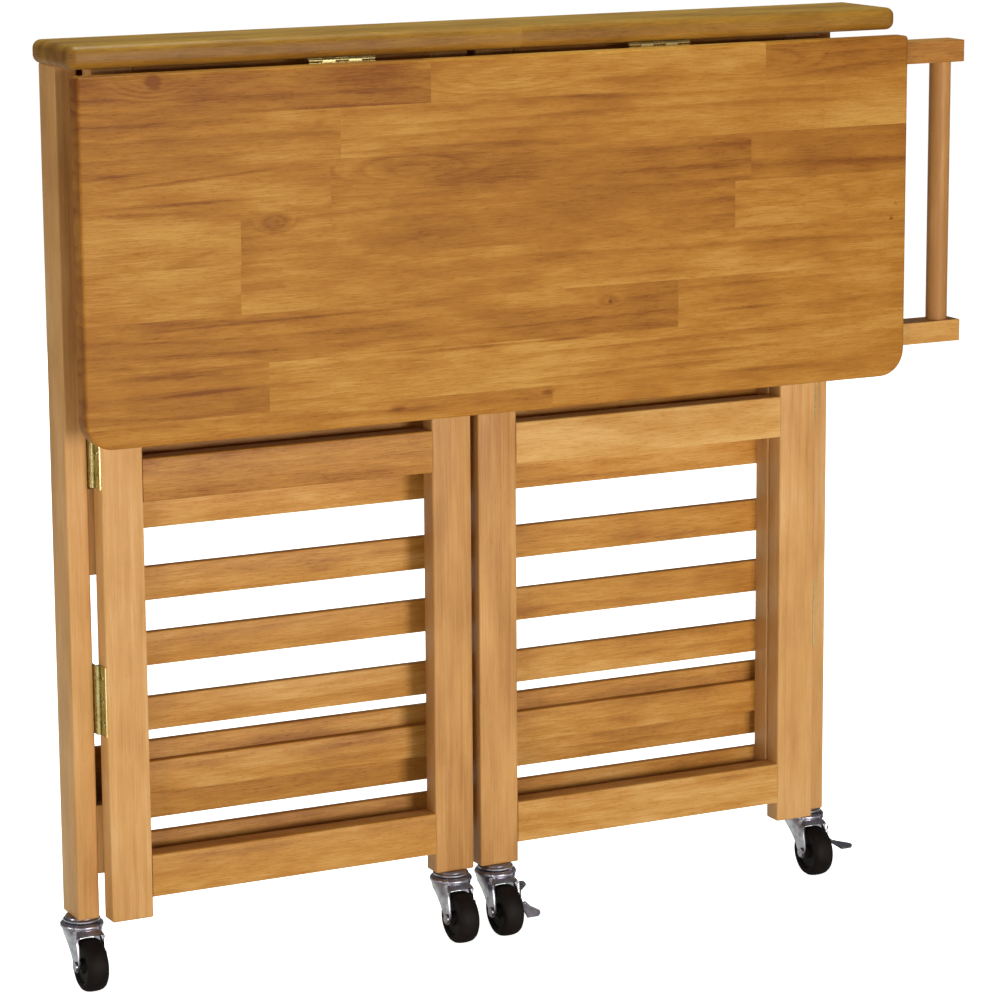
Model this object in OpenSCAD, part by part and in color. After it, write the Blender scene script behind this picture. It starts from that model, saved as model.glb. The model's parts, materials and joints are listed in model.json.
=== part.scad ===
// Fold-flat kitchen cart, shown folded: top board on a post frame, hanging drop leaf with a towel rail,
// two gate-leg frames, two slatted shelves folded up behind the gates, and four swivel casters.
// The posts' front faces lie in one plane, called the frame plane below. Depths grow towards the back.

/* [Overall] */
// Height of the top board's upper face above the floor
cart_h = 914; // [860:1:980]
// Width of the frame over both posts
frame_w = 836; // [740:1:960]

/* [Timber] */
// Thickness of the post and gate timber
timber_t = 22; // [20:0.5:26]
// Width of the post and gate timber
timber_w = 42; // [40:0.5:48]
/* [Top board] */
// Rounding of the top board's edges
top_edge_r = 8; // [2:0.5:9]
// Radius of the top board's corners in plan
top_corner_r = 10; // [9:0.5:20]
// Thickness of the top board and of the leaf
board_t = 22; // [20:0.5:28]
// Depth of the top board
top_d = 100; // [96:1:120]
// Overhang of the boards past the left post
top_overhang = 8; // [2:1:14]
// Overhang of the boards past the right post, which the towel arms are screwed to
rail_overhang = 42; // [30:1:80]

/* [Drop leaf] */
// Rounding of the leaf's edges
leaf_edge_r = 3; // [1:0.5:6]
// Height of the hanging leaf
leaf_h = 344; // [300:1:370]
// Radius of the leaf's two free corners
leaf_corner_r = 27; // [14:1:60]
// Gap between the top board's underside and the leaf's upper edge
leaf_gap = 4.5; // [4.2:0.1:6]

/* [Towel rail] */
// Height of each arm
arm_h = 22; // [20:1:30]
// Depth of each arm, measured off the leaf's back
arm_d = 30; // [27:0.5:33]
// How far the arms reach past the leaf's end
arm_reach = 81; // [60:1:120]
// Distance from the leaf's upper edge to the upper arm
upper_arm_drop = 9; // [4:1:40]
// Distance from the leaf's lower edge to the lower arm
lower_arm_rise = 26; // [10:1:60]
// Clear distance from the posts to the arms' inner ends
arm_post_gap = 6; // [3:1:12]
// Radius of the towel dowel
dowel_r = 11; // [7:0.5:12]
// Distance from the arms' outer ends to the dowel's axis
dowel_inset = 19; // [16:0.5:30]
// Depth of the dowel's sockets in the arms
dowel_socket = 8; // [4:0.5:14]

/* [Gates] */
// Gap between a post and its gate
gate_side_gap = 5; // [4.5:0.1:7]
// Gap between the two gates
gate_centre_gap = 8; // [4:0.5:16]
// Gap between the gates' tops and the top board
gate_top_gap = 2.5; // [2.2:0.1:8]
// Length of stile below the bottom rail
gate_horn = 20; // [12:1:40]
// Depth that a shelf ledge stays in front of the slats
ledge_clear = 1.5; // [1:0.5:6]
// Distance from a ledge's ends to the stiles
ledge_inset = 4; // [3:0.5:20]

/* [Back rails] */
// Height of the back rails
back_rail_h = 78; // [50:1:110]
// Thickness of the back rails
back_rail_t = 9; // [6:0.5:11]
// Distance from a shelf pivot up to its back rail
back_rail_rise = 41; // [36:1:60]

/* [Shelves] */
// Gap between the folded upper shelf and the top board
shelf_head_room = 18; // [8:1:40]
// Gap between the two folded shelves
shelf_fold_gap = 2; // [1:0.5:6]
// Gap between a folded shelf and the gates, and between it and the back rails
shelf_gap = 1; // [0.5:0.1:2]
// Width of the side battens
batten_w = 24; // [20:0.5:26]
// How far the battens' inner faces stand in from the gate stiles
batten_reveal = 1.5; // [0.5:0.5:2.5]
// Thickness of the slats
slat_t = 9; // [7:0.5:10]
// Width of the inner slats
slat_w = 33; // [20:1:38]
// Width of the two end slats
end_slat_w = 42; // [34:1:50]
// Number of inner slats
slat_count = 4; // [2:1:4]
// Gap between an end slat and its neighbour
end_slat_gap = 38; // [30:1:44]
// Distance from a shelf pivot down to the shelf's end
pivot_end = 12; // [11.5:0.1:13]

/* [Shelf pivots] */
// Radius of the pivot pins
pivot_pin_r = 4; // [3:0.5:5]
// Thickness of the pivot plates
pivot_plate_t = 2.5; // [2:0.25:3]
// Width of the pivot plates
pivot_plate_w = 16; // [14:0.5:19]
// Running gap between a batten and its pivot plate
pivot_gap = 0.5; // [0.3:0.1:0.8]
// Depth of the pivot blocks
block_d = 24; // [18:0.5:30]
// Height of the lower pivot blocks
lower_block_h = 68; // [50:1:90]
// Distance from the lower pivots up to their blocks
lower_block_rise = 3; // [2:0.5:10]
// Height of the upper pivot blocks
upper_block_h = 84; // [50:1:100]
// Distance from the upper pivots down to their blocks
upper_block_drop = 7; // [6:0.5:14]
// Length of pivot plate that lies on its block
plate_lap = 36; // [30:1:46]

/* [Hinges] */
// Length of each hinge
hinge_l = 68; // [50:1:70]
// Radius of the gate hinges' knuckles
gate_knuckle_r = 2.3; // [2:0.1:2.35]
// Distance from the frame plane forward to the gate hinges' pins
gate_pin_forward = 6; // [5:0.5:10]
// Width of the gate hinge plates
gate_plate_w = 15; // [12:0.5:16]
// Distance from a lower pivot block up to the lower gate hinge
lower_hinge_rise = 72; // [30:1:90]
// Distance from an upper pivot down to the upper gate hinge's end
upper_hinge_drop = 5; // [0:0.5:6]
// Radius of the leaf hinges' knuckles
leaf_knuckle_r = 1.8; // [1.6:0.1:1.85]
// Distance of the leaf hinge pins from both boards
leaf_pin_offset = 1.9; // [1.85:0.05:2]
// Width of the leaf hinge plates
leaf_plate_w = 24; // [18:0.5:28]
// Distance from the leaf's middle to each leaf hinge's middle
leaf_hinge_x = 170; // [120:1:300]
// Thickness of every hinge plate
hinge_plate_t = 1.2; // [1:0.1:1.4]
// Radius of the gate hinges' pins
gate_hinge_pin_r = 1.2; // [0.9:0.1:1.4]
// Radius of the leaf hinges' pins
leaf_hinge_pin_r = 0.9; // [0.7:0.05:1]

/* [Screws] */
// Radius of the screws' shanks
screw_r = 1.5; // [1:0.1:1.8]
// Radius of the screws' heads
screw_head_r = 2.8; // [2:0.1:3.4]
// Height of the screws' heads
screw_head_h = 0.9; // [0.6:0.1:1]
// Length of the screws in the timber
screw_l = 13; // [8:1:16]

/* [Casters] */
// Height of a caster, floor to timber
caster_h = 71; // [70:0.5:80]
// Radius of the wheels
wheel_r = 26; // [22:0.5:26.5]
// Width of the wheels
wheel_w = 22; // [18:0.5:25]
// Gap between a wheel and each fork leg
wheel_side_gap = 1.5; // [0.6:0.1:2]
// Distance from the swivel axis to the wheel's axle
caster_trail = 21.5; // [14:0.5:24]
// Radius of the raceway cup
cup_r = 18; // [15:0.5:20]
// Height of the raceway cup
cup_h = 6; // [5:0.5:8]
// Radius of the fork's crown
crown_r = 21.5; // [20:0.5:23]
// Height of the fork's crown
crown_h = 6.5; // [5:0.5:7]
// Thickness of the fork's legs
leg_t = 2.5; // [1.5:0.25:3]
// Radius of the fork's leg round the axle
leg_end_r = 6.5; // [5.5:0.5:9]
// Radius of the axle
axle_r = 3; // [2.5:0.25:4]
// Radius of the swivel pin
kingpin_r = 5; // [4:0.25:6]
// Radius of the threaded stem
stem_r = 4; // [3:0.25:5]
// Length of the stem in the timber
stem_l = 30; // [15:1:40]

/* [Brakes] */
// Height of the brake lever's pin above the axle
brake_rise = 11; // [10:0.5:14]
// Distance from the axle back to the brake lever's pin
brake_back = 6; // [4:0.5:8]
// Radius of the brake lever's pin
brake_pin_r = 2; // [1.5:0.25:2.5]
// Radius of the brake lever's hub
lever_hub_r = 4; // [3.5:0.25:5]
// Thickness of the brake lever's wings
wing_t = 1.8; // [1.2:0.1:2.4]
// How far the long wing stands out sideways
long_wing_out = 22; // [16:1:28]
// How far the short wing stands out sideways
short_wing_out = 9; // [6:0.5:14]
// Length of the long wing, from its pin
long_wing_l = 24; // [18:1:28]
// Length of the short wing, from its pin
short_wing_l = 15; // [12:1:20]
// Angle between the two wings
wing_spread = 155; // [130:5:175]
// Angle of the released lever's long wing above level
lever_up = 20; // [0:5:30]
// Angle of the locked lever's long wing below level
lever_down = 70; // [40:5:75]

/* [Hidden] */

$fn = 48;
// Radial clearance of every pin, axle, stem and screw in its hole
fit = 0.05;
// Gap between parts that turn past each other
running_gap = 0.3;
// How far a cutter runs past the face that it opens
cut_over = 1;

wood_pale = "#d8a465";
wood_mid = "#c98f4c";
wood_top = "#b98a50";
zinc = "#a9a8ad";
brass_plated = "#d6c9a4";
wheel_black = "#231d1d";

// Heights
top_under = cart_h - board_t;
leaf_z1 = top_under - leaf_gap;
leaf_z0 = leaf_z1 - leaf_h;
gate_z0 = caster_h;
gate_z1 = top_under - gate_top_gap;
bottom_rail_z = gate_z0 + gate_horn;
rail_mid = timber_w / 2;
// Both shelves fold up one above the other, which sets the distance between their pivots
shelf_room = top_under - shelf_head_room - bottom_rail_z - rail_mid + pivot_end + shelf_fold_gap;
shelf_pitch = shelf_room / 2;
shelf_l = shelf_pitch - shelf_fold_gap;
middle_rail_z = bottom_rail_z + shelf_pitch;
lower_pivot_z = bottom_rail_z + rail_mid;
upper_pivot_z = middle_rail_z + rail_mid;
gate_rail_z = [bottom_rail_z, middle_rail_z];
lower_block_z = lower_pivot_z + lower_block_rise;
upper_block_z = upper_pivot_z - upper_block_drop - upper_block_h;
lower_hinge_z = lower_block_z + lower_block_h + lower_hinge_rise;
upper_hinge_z = upper_pivot_z - upper_hinge_drop;
gate_hinge_z = [lower_hinge_z, upper_hinge_z];

// Depths, measured back from the frame plane
top_y1 = timber_w;
top_y0 = top_y1 - top_d;
leaf_y0 = top_y0 - board_t;
batten_t = timber_w - back_rail_t - slat_t - 2 * shelf_gap;
pivot_y = shelf_gap + batten_t / 2;
slat_y = shelf_gap + batten_t;
back_rail_y = timber_w - back_rail_t;
ledge_d = slat_y - ledge_clear;
ledge_h = rail_mid - batten_t / 2;
dowel_y = top_y0 + arm_d / 2;

// Widths, measured from the frame's middle
post_out = frame_w / 2;
post_in = post_out - timber_t;
gate_out = post_in - gate_side_gap;
gate_in = gate_centre_gap / 2;
stile_in = gate_out - timber_w;
free_stile_out = gate_in + timber_w;
batten_in = stile_in - batten_reveal;
batten_out = batten_in + batten_w;
plate_x = batten_out + pivot_gap;
block_x = plate_x + pivot_plate_t;
top_x0 = -post_out - top_overhang;
top_x1 = post_out + rail_overhang;
top_l = top_x1 - top_x0;
top_mid_x = (top_x0 + top_x1) / 2;
arm_x0 = post_out + arm_post_gap;
arm_x1 = top_x1 + arm_reach;
upper_arm_z = leaf_z1 - upper_arm_drop - arm_h;
lower_arm_z = leaf_z0 + lower_arm_rise;
gate_pin_x = post_in - gate_side_gap / 2;
leaf_pin_y = top_y0 + leaf_pin_offset;
leaf_pin_z = top_under - leaf_pin_offset;

// Casters: [across, back] of each swivel axis
post_caster_x = post_out - timber_t / 2;
post_caster_y = timber_w / 2;
gate_caster_x = gate_in + timber_w / 2;
gate_caster_y = -timber_t / 2;
crown_z1 = caster_h - cup_h - running_gap;
crown_z0 = crown_z1 - crown_h;
brake_pin_y = -caster_trail + brake_back;
brake_pin_z = wheel_r + brake_rise;
leg_in = wheel_w / 2 + wheel_side_gap;
leg_out = leg_in + leg_t;
axle_head_r = axle_r + 1.8;
axle_head_h = 1.5;
lever_x0 = leg_out + 2 * running_gap + axle_head_h;
lever_w = 3;
long_tip_r = 4;
kingpin_head_h = 2;

// Hinge pattern: odd knuckles belong to the fixed plate, even ones to the moving plate
knuckles = 5;
knuckle_gap = 0.2;
screws_per_plate = 3;

// The folded cart's outline: its middle in plan becomes the origin
outline_x0 = min(top_x0, -post_caster_x - crown_r);
outline_y0 = min(leaf_y0, gate_caster_y - caster_trail - wheel_r);
origin_shift = [-(outline_x0 + arm_x1) / 2, -(outline_y0 + top_y1) / 2, 0];

// Shared shapes

// Moves the finished sub-part so that the origin is on the floor under the cart's middle
module place() {
    translate(origin_shift)
    children();
}

// Both sides of the cart: the children as drawn on the right, and mirrored
module both_sides() {
    children();
    mirror([1, 0, 0])
    children();
}

// A round bar or hole along X from a point
module bar_x(x0, y, z, r, l) {
    translate([x0, y, z])
    rotate([0, 90, 0])
    cylinder(r = r, h = l);
}

// A round bar or hole along Y from a point
module bar_y(x, y0, z, r, l) {
    translate([x, y0, z])
    rotate([-90, 0, 0])
    cylinder(r = r, h = l);
}

// Points of a quarter circle of radius r round [x, z], from angle a0
function quarter(x, z, r, a0) = [for (a = [0 : 15 : 90]) [x + r * cos(a0 + a), z + r * sin(a0 + a)]];

// One corner of a board with rounded edges, standing on z = 0: r is its radius in plan
module board_corner(x, y, r, t, edge) {
    translate([x, y, 0])
    rotate_extrude($fn = 32)
    polygon(concat(
        [[0, 0]], quarter(r - edge, edge, edge, -90), quarter(r - edge, t - edge, edge, 0), [[0, t]]
    ));
}

// A board of thickness t lying on z = 0, with its own corner radii at the near and the far side
module rounded_board(l, w, t, edge, near_r, far_r) {
    hull() {
        for (x = [near_r, l - near_r])
        board_corner(x, near_r, near_r, t, edge);
        for (x = [far_r, l - far_r])
        board_corner(x, w - far_r, far_r, t, edge);
    }
}

// A screw along +X: its head's flat side lies at x, its shank runs on in +X
module screw_x(x, y, z) {
    bar_x(x - screw_head_h, y, z, screw_head_r, screw_head_h);
    bar_x(x, y, z, screw_r, screw_l);
}

// A screw along +Z, head below
module screw_z(x, y, z, l = screw_l) {
    translate([x, y, z - screw_head_h])
    cylinder(r = screw_head_r, h = screw_head_h);
    translate([x, y, z])
    cylinder(r = screw_r, h = l);
}

// A screw along -Y, head at the back
module screw_back(x, y, z) {
    bar_y(x, y, z, screw_head_r, screw_head_h);
    bar_y(x, y - screw_l, z, screw_r, screw_l);
}

// A hole for a screw's shank, along X
module screw_hole_x(x, y, z, l = screw_l) {
    bar_x(x, y, z, screw_r + fit, l);
}

// Start of knuckle i along a hinge of length l
function knuckle_at(i, l) = i * l / knuckles;

// The knuckles of one side of a hinge, along +Z, with the pin's hole
module knuckle_stack(r, pin_r, first) {
    for (i = [first : 2 : knuckles - 1])
    translate([0, 0, knuckle_at(i, hinge_l) + knuckle_gap / 2])
    difference() {
        cylinder(r = r, h = hinge_l / knuckles - knuckle_gap);
        translate([0, 0, -cut_over])
        cylinder(r = pin_r + fit, h = hinge_l);
    }
}

// The tabs that join a hinge plate to its knuckles: children are cut away beside the other side's
module knuckle_notches(size, first) {
    for (i = [first : 2 : knuckles - 1])
    translate([-size, -size, knuckle_at(i, hinge_l) - knuckle_gap / 2])
    cube([2 * size, 2 * size, hinge_l / knuckles + knuckle_gap]);
}

// Heights of a plate's screws, along the hinge
function plate_screw_z() = [for (i = [0 : screws_per_plate - 1]) hinge_l * (i + 0.5) / screws_per_plate];

// Frame

module top_board() {
    color(wood_top)
    difference() {
        translate([top_x0, top_y0, top_under])
        rounded_board(top_l, top_d, board_t, top_edge_r, top_corner_r, top_corner_r);
        for (x = leaf_hinge_middles(), s = plate_screw_z())
        translate([x - hinge_l / 2 + s, leaf_pin_y + leaf_plate_w * 0.6, top_under - cut_over])
        cylinder(r = screw_r + fit, h = screw_l + cut_over);
    }
}

// Middles of the two leaf hinges
function leaf_hinge_middles() = [top_mid_x - leaf_hinge_x, top_mid_x + leaf_hinge_x];

// Depth of the screws in a gate hinge's fixed plate
function fixed_screw_y() = gate_plate_w * 0.55;

// The right post; the left one is its mirror image
module post() {
    difference() {
        translate([post_in, 0, caster_h])
        cube([timber_t, timber_w, top_under - caster_h]);
        translate([post_caster_x, post_caster_y, caster_h - cut_over])
        cylinder(r = stem_r + fit, h = stem_l + cut_over);
        for (z0 = gate_hinge_z, s = plate_screw_z())
        screw_hole_x(post_in - cut_over, fixed_screw_y(), z0 + s, screw_l + cut_over);
    }
}

module left_post() {
    color(wood_pale)
    mirror([1, 0, 0])
    post();
}

module right_post() {
    color(wood_pale)
    post();
}

// A back rail between the posts, from its lower edge
module back_rail(z) {
    color(wood_mid)
    translate([-post_in, back_rail_y, z])
    cube([2 * post_in, back_rail_t, back_rail_h]);
}

module top_back_rail() {
    back_rail(top_under - back_rail_h);
}

module upper_back_rail() {
    back_rail(upper_pivot_z + back_rail_rise);
}

module lower_back_rail() {
    back_rail(lower_pivot_z + back_rail_rise);
}

// Shelves, folded up: pivots at the lower end, slats on the back

module shelf_battens(pivot_z) {
    color(wood_mid)
    both_sides()
    difference() {
        union() {
            translate([batten_in, shelf_gap, pivot_z])
            cube([batten_w, batten_t, shelf_l - pivot_end]);
            bar_x(batten_in, pivot_y, pivot_z, batten_t / 2, batten_w);
        }
        bar_x(batten_in - cut_over, pivot_y, pivot_z, pivot_pin_r + fit, batten_w + 2 * cut_over);
    }
}

module slat(z, w) {
    translate([-batten_out, slat_y, z])
    cube([2 * batten_out, slat_t, w]);
}

module shelf_slats(pivot_z) {
    z0 = pivot_z - pivot_end;
    first = z0 + end_slat_w + end_slat_gap;
    last = z0 + shelf_l - end_slat_w - end_slat_gap - slat_w;
    color(wood_mid) {
        slat(z0, end_slat_w);
        slat(z0 + shelf_l - end_slat_w, end_slat_w);
        for (i = [0 : slat_count - 1])
        slat(first + (last - first) * i / (slat_count - 1), slat_w);
    }
}

module lower_shelf_battens() {
    shelf_battens(lower_pivot_z);
}

module lower_shelf_slats() {
    shelf_slats(lower_pivot_z);
}

module upper_shelf_battens() {
    shelf_battens(upper_pivot_z);
}

module upper_shelf_slats() {
    shelf_slats(upper_pivot_z);
}

// Two screws per pivot plate, on the part that lies on the block
function lower_plate_screws() = [for (s = [0.3, 0.75]) lower_block_z + plate_lap * s];
function upper_plate_screws() = [for (s = [0.3, 0.75]) upper_block_z + upper_block_h - plate_lap * s];
function pivot_screw_z() = concat(lower_plate_screws(), upper_plate_screws());

module pivot_block(z, h) {
    difference() {
        translate([block_x, shelf_gap, z])
        cube([post_in - block_x, block_d, h]);
        for (s = pivot_screw_z())
        screw_hole_x(block_x - cut_over, pivot_y, s, screw_l + cut_over);
    }
}

module shelf_pivot_blocks() {
    color(wood_mid)
    both_sides() {
        pivot_block(lower_block_z, lower_block_h);
        pivot_block(upper_block_z, upper_block_h);
    }
}

// A steel plate with a riveted pin: it lies on its block's side from z0 to z1
module pivot_plate(pivot_z, z0, z1) {
    difference() {
        union() {
            bar_x(plate_x, pivot_y, pivot_z, pivot_plate_w / 2, pivot_plate_t);
            translate([plate_x, pivot_y - pivot_plate_w / 2, z0])
            cube([pivot_plate_t, pivot_plate_w, z1 - z0]);
        }
        for (s = pivot_screw_z())
        screw_hole_x(plate_x - cut_over, pivot_y, s, pivot_plate_t + 2 * cut_over);
    }
    bar_x(batten_in + 2, pivot_y, pivot_z, pivot_pin_r, plate_x + pivot_plate_t / 2 - batten_in - 2);
}

module shelf_pivots() {
    color(zinc)
    both_sides() {
        pivot_plate(lower_pivot_z, lower_pivot_z, lower_block_z + plate_lap);
        pivot_plate(upper_pivot_z, upper_block_z + upper_block_h - plate_lap, upper_pivot_z);
    }
}

// Hinges

// Turns a hinge drawn along +Z about the leaf's pin axis
module leaf_hinge_axis(x) {
    translate([x - hinge_l / 2, leaf_pin_y, leaf_pin_z])
    rotate([0, 90, 0])
    children();
}

// Holes for the screws of one leaf hinge plate that lies against the top board
module leaf_hinge_fixed_plates() {
    color(brass_plated)
    for (x = leaf_hinge_middles()) {
        leaf_hinge_axis(x)
        knuckle_stack(leaf_knuckle_r, leaf_hinge_pin_r, 0);
        difference() {
            translate([x - hinge_l / 2, leaf_pin_y, top_under - hinge_plate_t])
            cube([hinge_l, leaf_plate_w, hinge_plate_t]);
            leaf_hinge_axis(x)
            knuckle_notches(leaf_knuckle_r + knuckle_gap, 1);
            leaf_hinge_axis(x)
            cylinder(r = leaf_hinge_pin_r + fit, h = hinge_l);
            for (s = plate_screw_z())
            translate([x - hinge_l / 2 + s, leaf_pin_y + leaf_plate_w * 0.6, top_under - 2 * cut_over])
            cylinder(r = screw_r + fit, h = screw_l);
        }
    }
}

module leaf_hinge_moving_plates() {
    color(brass_plated)
    for (x = leaf_hinge_middles()) {
        leaf_hinge_axis(x)
        knuckle_stack(leaf_knuckle_r, leaf_hinge_pin_r, 1);
        difference() {
            translate([x - hinge_l / 2, top_y0, leaf_pin_z - leaf_plate_w])
            cube([hinge_l, hinge_plate_t, leaf_plate_w]);
            leaf_hinge_axis(x)
            knuckle_notches(leaf_knuckle_r + knuckle_gap, 0);
            leaf_hinge_axis(x)
            cylinder(r = leaf_hinge_pin_r + fit, h = hinge_l);
            for (s = plate_screw_z())
            bar_y(x - hinge_l / 2 + s, top_y0 - cut_over, leaf_screw_z(), screw_r + fit, screw_l);
        }
    }
}

// Height of the screws in the leaf hinges' moving plates
function leaf_screw_z() = leaf_pin_z - leaf_plate_w * 0.6;

module leaf_hinge_pins() {
    color(zinc)
    for (x = leaf_hinge_middles())
    leaf_hinge_axis(x)
    cylinder(r = leaf_hinge_pin_r, h = hinge_l);
}

// The fixed plate lies on the post's inner side and reaches forward to the knuckles
module gate_hinge_fixed_plates() {
    color(brass_plated)
    both_sides()
    for (z0 = gate_hinge_z) {
        translate([gate_pin_x, -gate_pin_forward, z0])
        knuckle_stack(gate_knuckle_r, gate_hinge_pin_r, 0);
        difference() {
            translate([post_in - hinge_plate_t, -gate_pin_forward, z0])
            cube([hinge_plate_t, gate_pin_forward + gate_plate_w, hinge_l]);
            translate([gate_pin_x, -gate_pin_forward, z0])
            knuckle_notches(gate_knuckle_r + knuckle_gap, 1);
            for (s = plate_screw_z())
            screw_hole_x(post_in - screw_l / 2, fixed_screw_y(), z0 + s);
        }
    }
}

module gate_hinge_pins() {
    color(zinc)
    both_sides()
    for (z0 = gate_hinge_z)
    translate([gate_pin_x, -gate_pin_forward, z0])
    cylinder(r = gate_hinge_pin_r, h = hinge_l);
}

// Depth of the screws in a gate hinge's moving plate
function moving_screw_y() = -gate_pin_forward - gate_plate_w * 0.55;

// The moving plate lies on the gate stile's edge, in front of the knuckles
module gate_hinge_plates() {
    color(brass_plated)
    for (z0 = gate_hinge_z) {
        translate([gate_pin_x, -gate_pin_forward, z0])
        knuckle_stack(gate_knuckle_r, gate_hinge_pin_r, 1);
        difference() {
            translate([gate_out, -gate_pin_forward - gate_plate_w, z0])
            cube([hinge_plate_t, gate_plate_w, hinge_l]);
            translate([gate_pin_x, -gate_pin_forward, z0])
            knuckle_notches(gate_knuckle_r + knuckle_gap, 0);
            for (s = plate_screw_z())
            screw_hole_x(gate_out - cut_over, moving_screw_y(), z0 + s);
        }
    }
}

module frame_screws() {
    color(zinc) {
        both_sides() {
            for (z0 = gate_hinge_z, s = plate_screw_z())
            screw_x(post_in - hinge_plate_t, fixed_screw_y(), z0 + s);
            for (s = pivot_screw_z())
            bar_x(plate_x, pivot_y, s, screw_r, screw_l);
        }
        for (x = leaf_hinge_middles(), s = plate_screw_z())
        screw_z(x - hinge_l / 2 + s, leaf_pin_y + leaf_plate_w * 0.6, top_under - hinge_plate_t);
    }
}

// Leaf and towel rail

// Places of the arm screws: two per arm, through the arm into the leaf
function arm_screw_x() = [for (s = [0.25, 0.75]) arm_x0 + (top_x1 - arm_x0) * s];
function arm_screw_z() = [upper_arm_z + arm_h / 2, lower_arm_z + arm_h / 2];
// Depth of leaf that an arm screw enters, and how deep its head sits in the arm
arm_screw_bite = 14;
arm_counterbore = 12;

module drop_leaf() {
    color(wood_mid)
    difference() {
        translate([top_x0, top_y0, leaf_z0])
        rotate([90, 0, 0])
        rounded_board(top_l, leaf_h, board_t, leaf_edge_r, leaf_corner_r, leaf_edge_r);
        for (x = leaf_hinge_middles(), s = plate_screw_z())
        bar_y(x - hinge_l / 2 + s, top_y0 - screw_l, leaf_screw_z(), screw_r + fit, screw_l + cut_over);
        for (x = arm_screw_x(), z = arm_screw_z())
        bar_y(x, top_y0 - arm_screw_bite, z, screw_r + fit, arm_screw_bite + cut_over);
    }
}

// An arm from its lower edge, with the dowel's socket on its inner side
module towel_arm(z, socket_z) {
    color(wood_pale)
    difference() {
        translate([arm_x0, top_y0, z])
        cube([arm_x1 - arm_x0, arm_d, arm_h]);
        translate([arm_x1 - dowel_inset, dowel_y, socket_z])
        cylinder(r = dowel_r + fit, h = dowel_socket + cut_over);
        for (x = arm_screw_x()) {
            bar_y(x, top_y0 - cut_over, z + arm_h / 2, screw_r + fit, arm_d + 2 * cut_over);
            bar_y(x, top_y0 + arm_d - arm_counterbore, z + arm_h / 2, screw_head_r + fit, arm_d);
        }
    }
}

module upper_towel_arm() {
    towel_arm(upper_arm_z, upper_arm_z - cut_over);
}

module lower_towel_arm() {
    towel_arm(lower_arm_z, lower_arm_z + arm_h - dowel_socket);
}

module towel_dowel() {
    z0 = lower_arm_z + arm_h - dowel_socket;
    color(wood_pale)
    translate([arm_x1 - dowel_inset, dowel_y, z0])
    cylinder(r = dowel_r, h = upper_arm_z + dowel_socket - z0);
}

module leaf_screws() {
    head_y = top_y0 + arm_d - arm_counterbore;
    color(zinc) {
        for (x = leaf_hinge_middles(), s = plate_screw_z())
        screw_back(x - hinge_l / 2 + s, top_y0 + hinge_plate_t, leaf_screw_z());
        for (x = arm_screw_x(), z = arm_screw_z()) {
            bar_y(x, head_y, z, screw_head_r, screw_head_h);
            bar_y(x, top_y0 - arm_screw_bite, z, screw_r, head_y - top_y0 + arm_screw_bite);
        }
    }
}

// Gates, drawn as the right one; the left gate is its mirror image

// Height of the ledges' screws over the rail's lower edge, and their places along a ledge
ledge_screw_x = [for (s = [0.1, 0.5, 0.9]) free_stile_out + (stile_in - free_stile_out) * s];

module gate_stile(x) {
    translate([x, -timber_t, gate_z0])
    cube([timber_w, timber_t, gate_z1 - gate_z0]);
}

module gate_hinge_stile() {
    color(wood_pale)
    difference() {
        gate_stile(stile_in);
        for (z0 = gate_hinge_z, s = plate_screw_z())
        screw_hole_x(gate_out - screw_l, moving_screw_y(), z0 + s, screw_l + cut_over);
    }
}

module gate_free_stile() {
    color(wood_pale)
    difference() {
        gate_stile(gate_in);
        translate([gate_caster_x, gate_caster_y, caster_h - cut_over])
        cylinder(r = stem_r + fit, h = stem_l + cut_over);
    }
}

module gate_rail(z) {
    color(wood_mid)
    translate([free_stile_out, -timber_t, z])
    cube([stile_in - free_stile_out, timber_t, timber_w]);
}

// A rail with the holes of its ledge's screws
module gate_shelf_rail(z) {
    difference() {
        gate_rail(z);
        color(wood_mid)
        for (x = ledge_screw_x)
        bar_y(x, ledge_screw_y0, z + ledge_h / 2, screw_r + fit, cut_over - ledge_screw_y0);
    }
}

// Where a ledge screw's tip lies inside the rail
ledge_screw_y0 = -12;

module gate_ledges() {
    color(wood_mid)
    for (z = gate_rail_z)
    difference() {
        translate([free_stile_out + ledge_inset, 0, z])
        cube([stile_in - free_stile_out - 2 * ledge_inset, ledge_d, ledge_h]);
        for (x = ledge_screw_x) {
            bar_y(x, -cut_over, z + ledge_h / 2, screw_r + fit, ledge_d + 2 * cut_over);
            bar_y(x, ledge_d - screw_head_h, z + ledge_h / 2, screw_head_r + fit, screw_head_h + cut_over);
        }
    }
}

module gate_screws() {
    color(zinc) {
        for (z0 = gate_hinge_z, s = plate_screw_z()) {
            bar_x(gate_out + hinge_plate_t, moving_screw_y(), z0 + s, screw_head_r, screw_head_h);
            bar_x(gate_out - screw_l, moving_screw_y(), z0 + s, screw_r, screw_l + hinge_plate_t);
        }
        for (z = gate_rail_z, x = ledge_screw_x) {
            bar_y(x, ledge_d - screw_head_h, z + ledge_h / 2, screw_head_r, screw_head_h);
            bar_y(x, ledge_screw_y0, z + ledge_h / 2, screw_r, ledge_d - screw_head_h - ledge_screw_y0);
        }
    }
}

module left_gate_hinge_stile() {
    mirror([1, 0, 0])
    gate_hinge_stile();
}

module left_gate_free_stile() {
    mirror([1, 0, 0])
    gate_free_stile();
}

module left_gate_top_rail() {
    mirror([1, 0, 0])
    gate_rail(gate_z1 - timber_w);
}

module left_gate_middle_rail() {
    mirror([1, 0, 0])
    gate_shelf_rail(middle_rail_z);
}

module left_gate_bottom_rail() {
    mirror([1, 0, 0])
    gate_shelf_rail(bottom_rail_z);
}

module left_gate_ledges() {
    mirror([1, 0, 0])
    gate_ledges();
}

module left_gate_hinge_plates() {
    mirror([1, 0, 0])
    gate_hinge_plates();
}

module left_gate_screws() {
    mirror([1, 0, 0])
    gate_screws();
}

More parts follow.
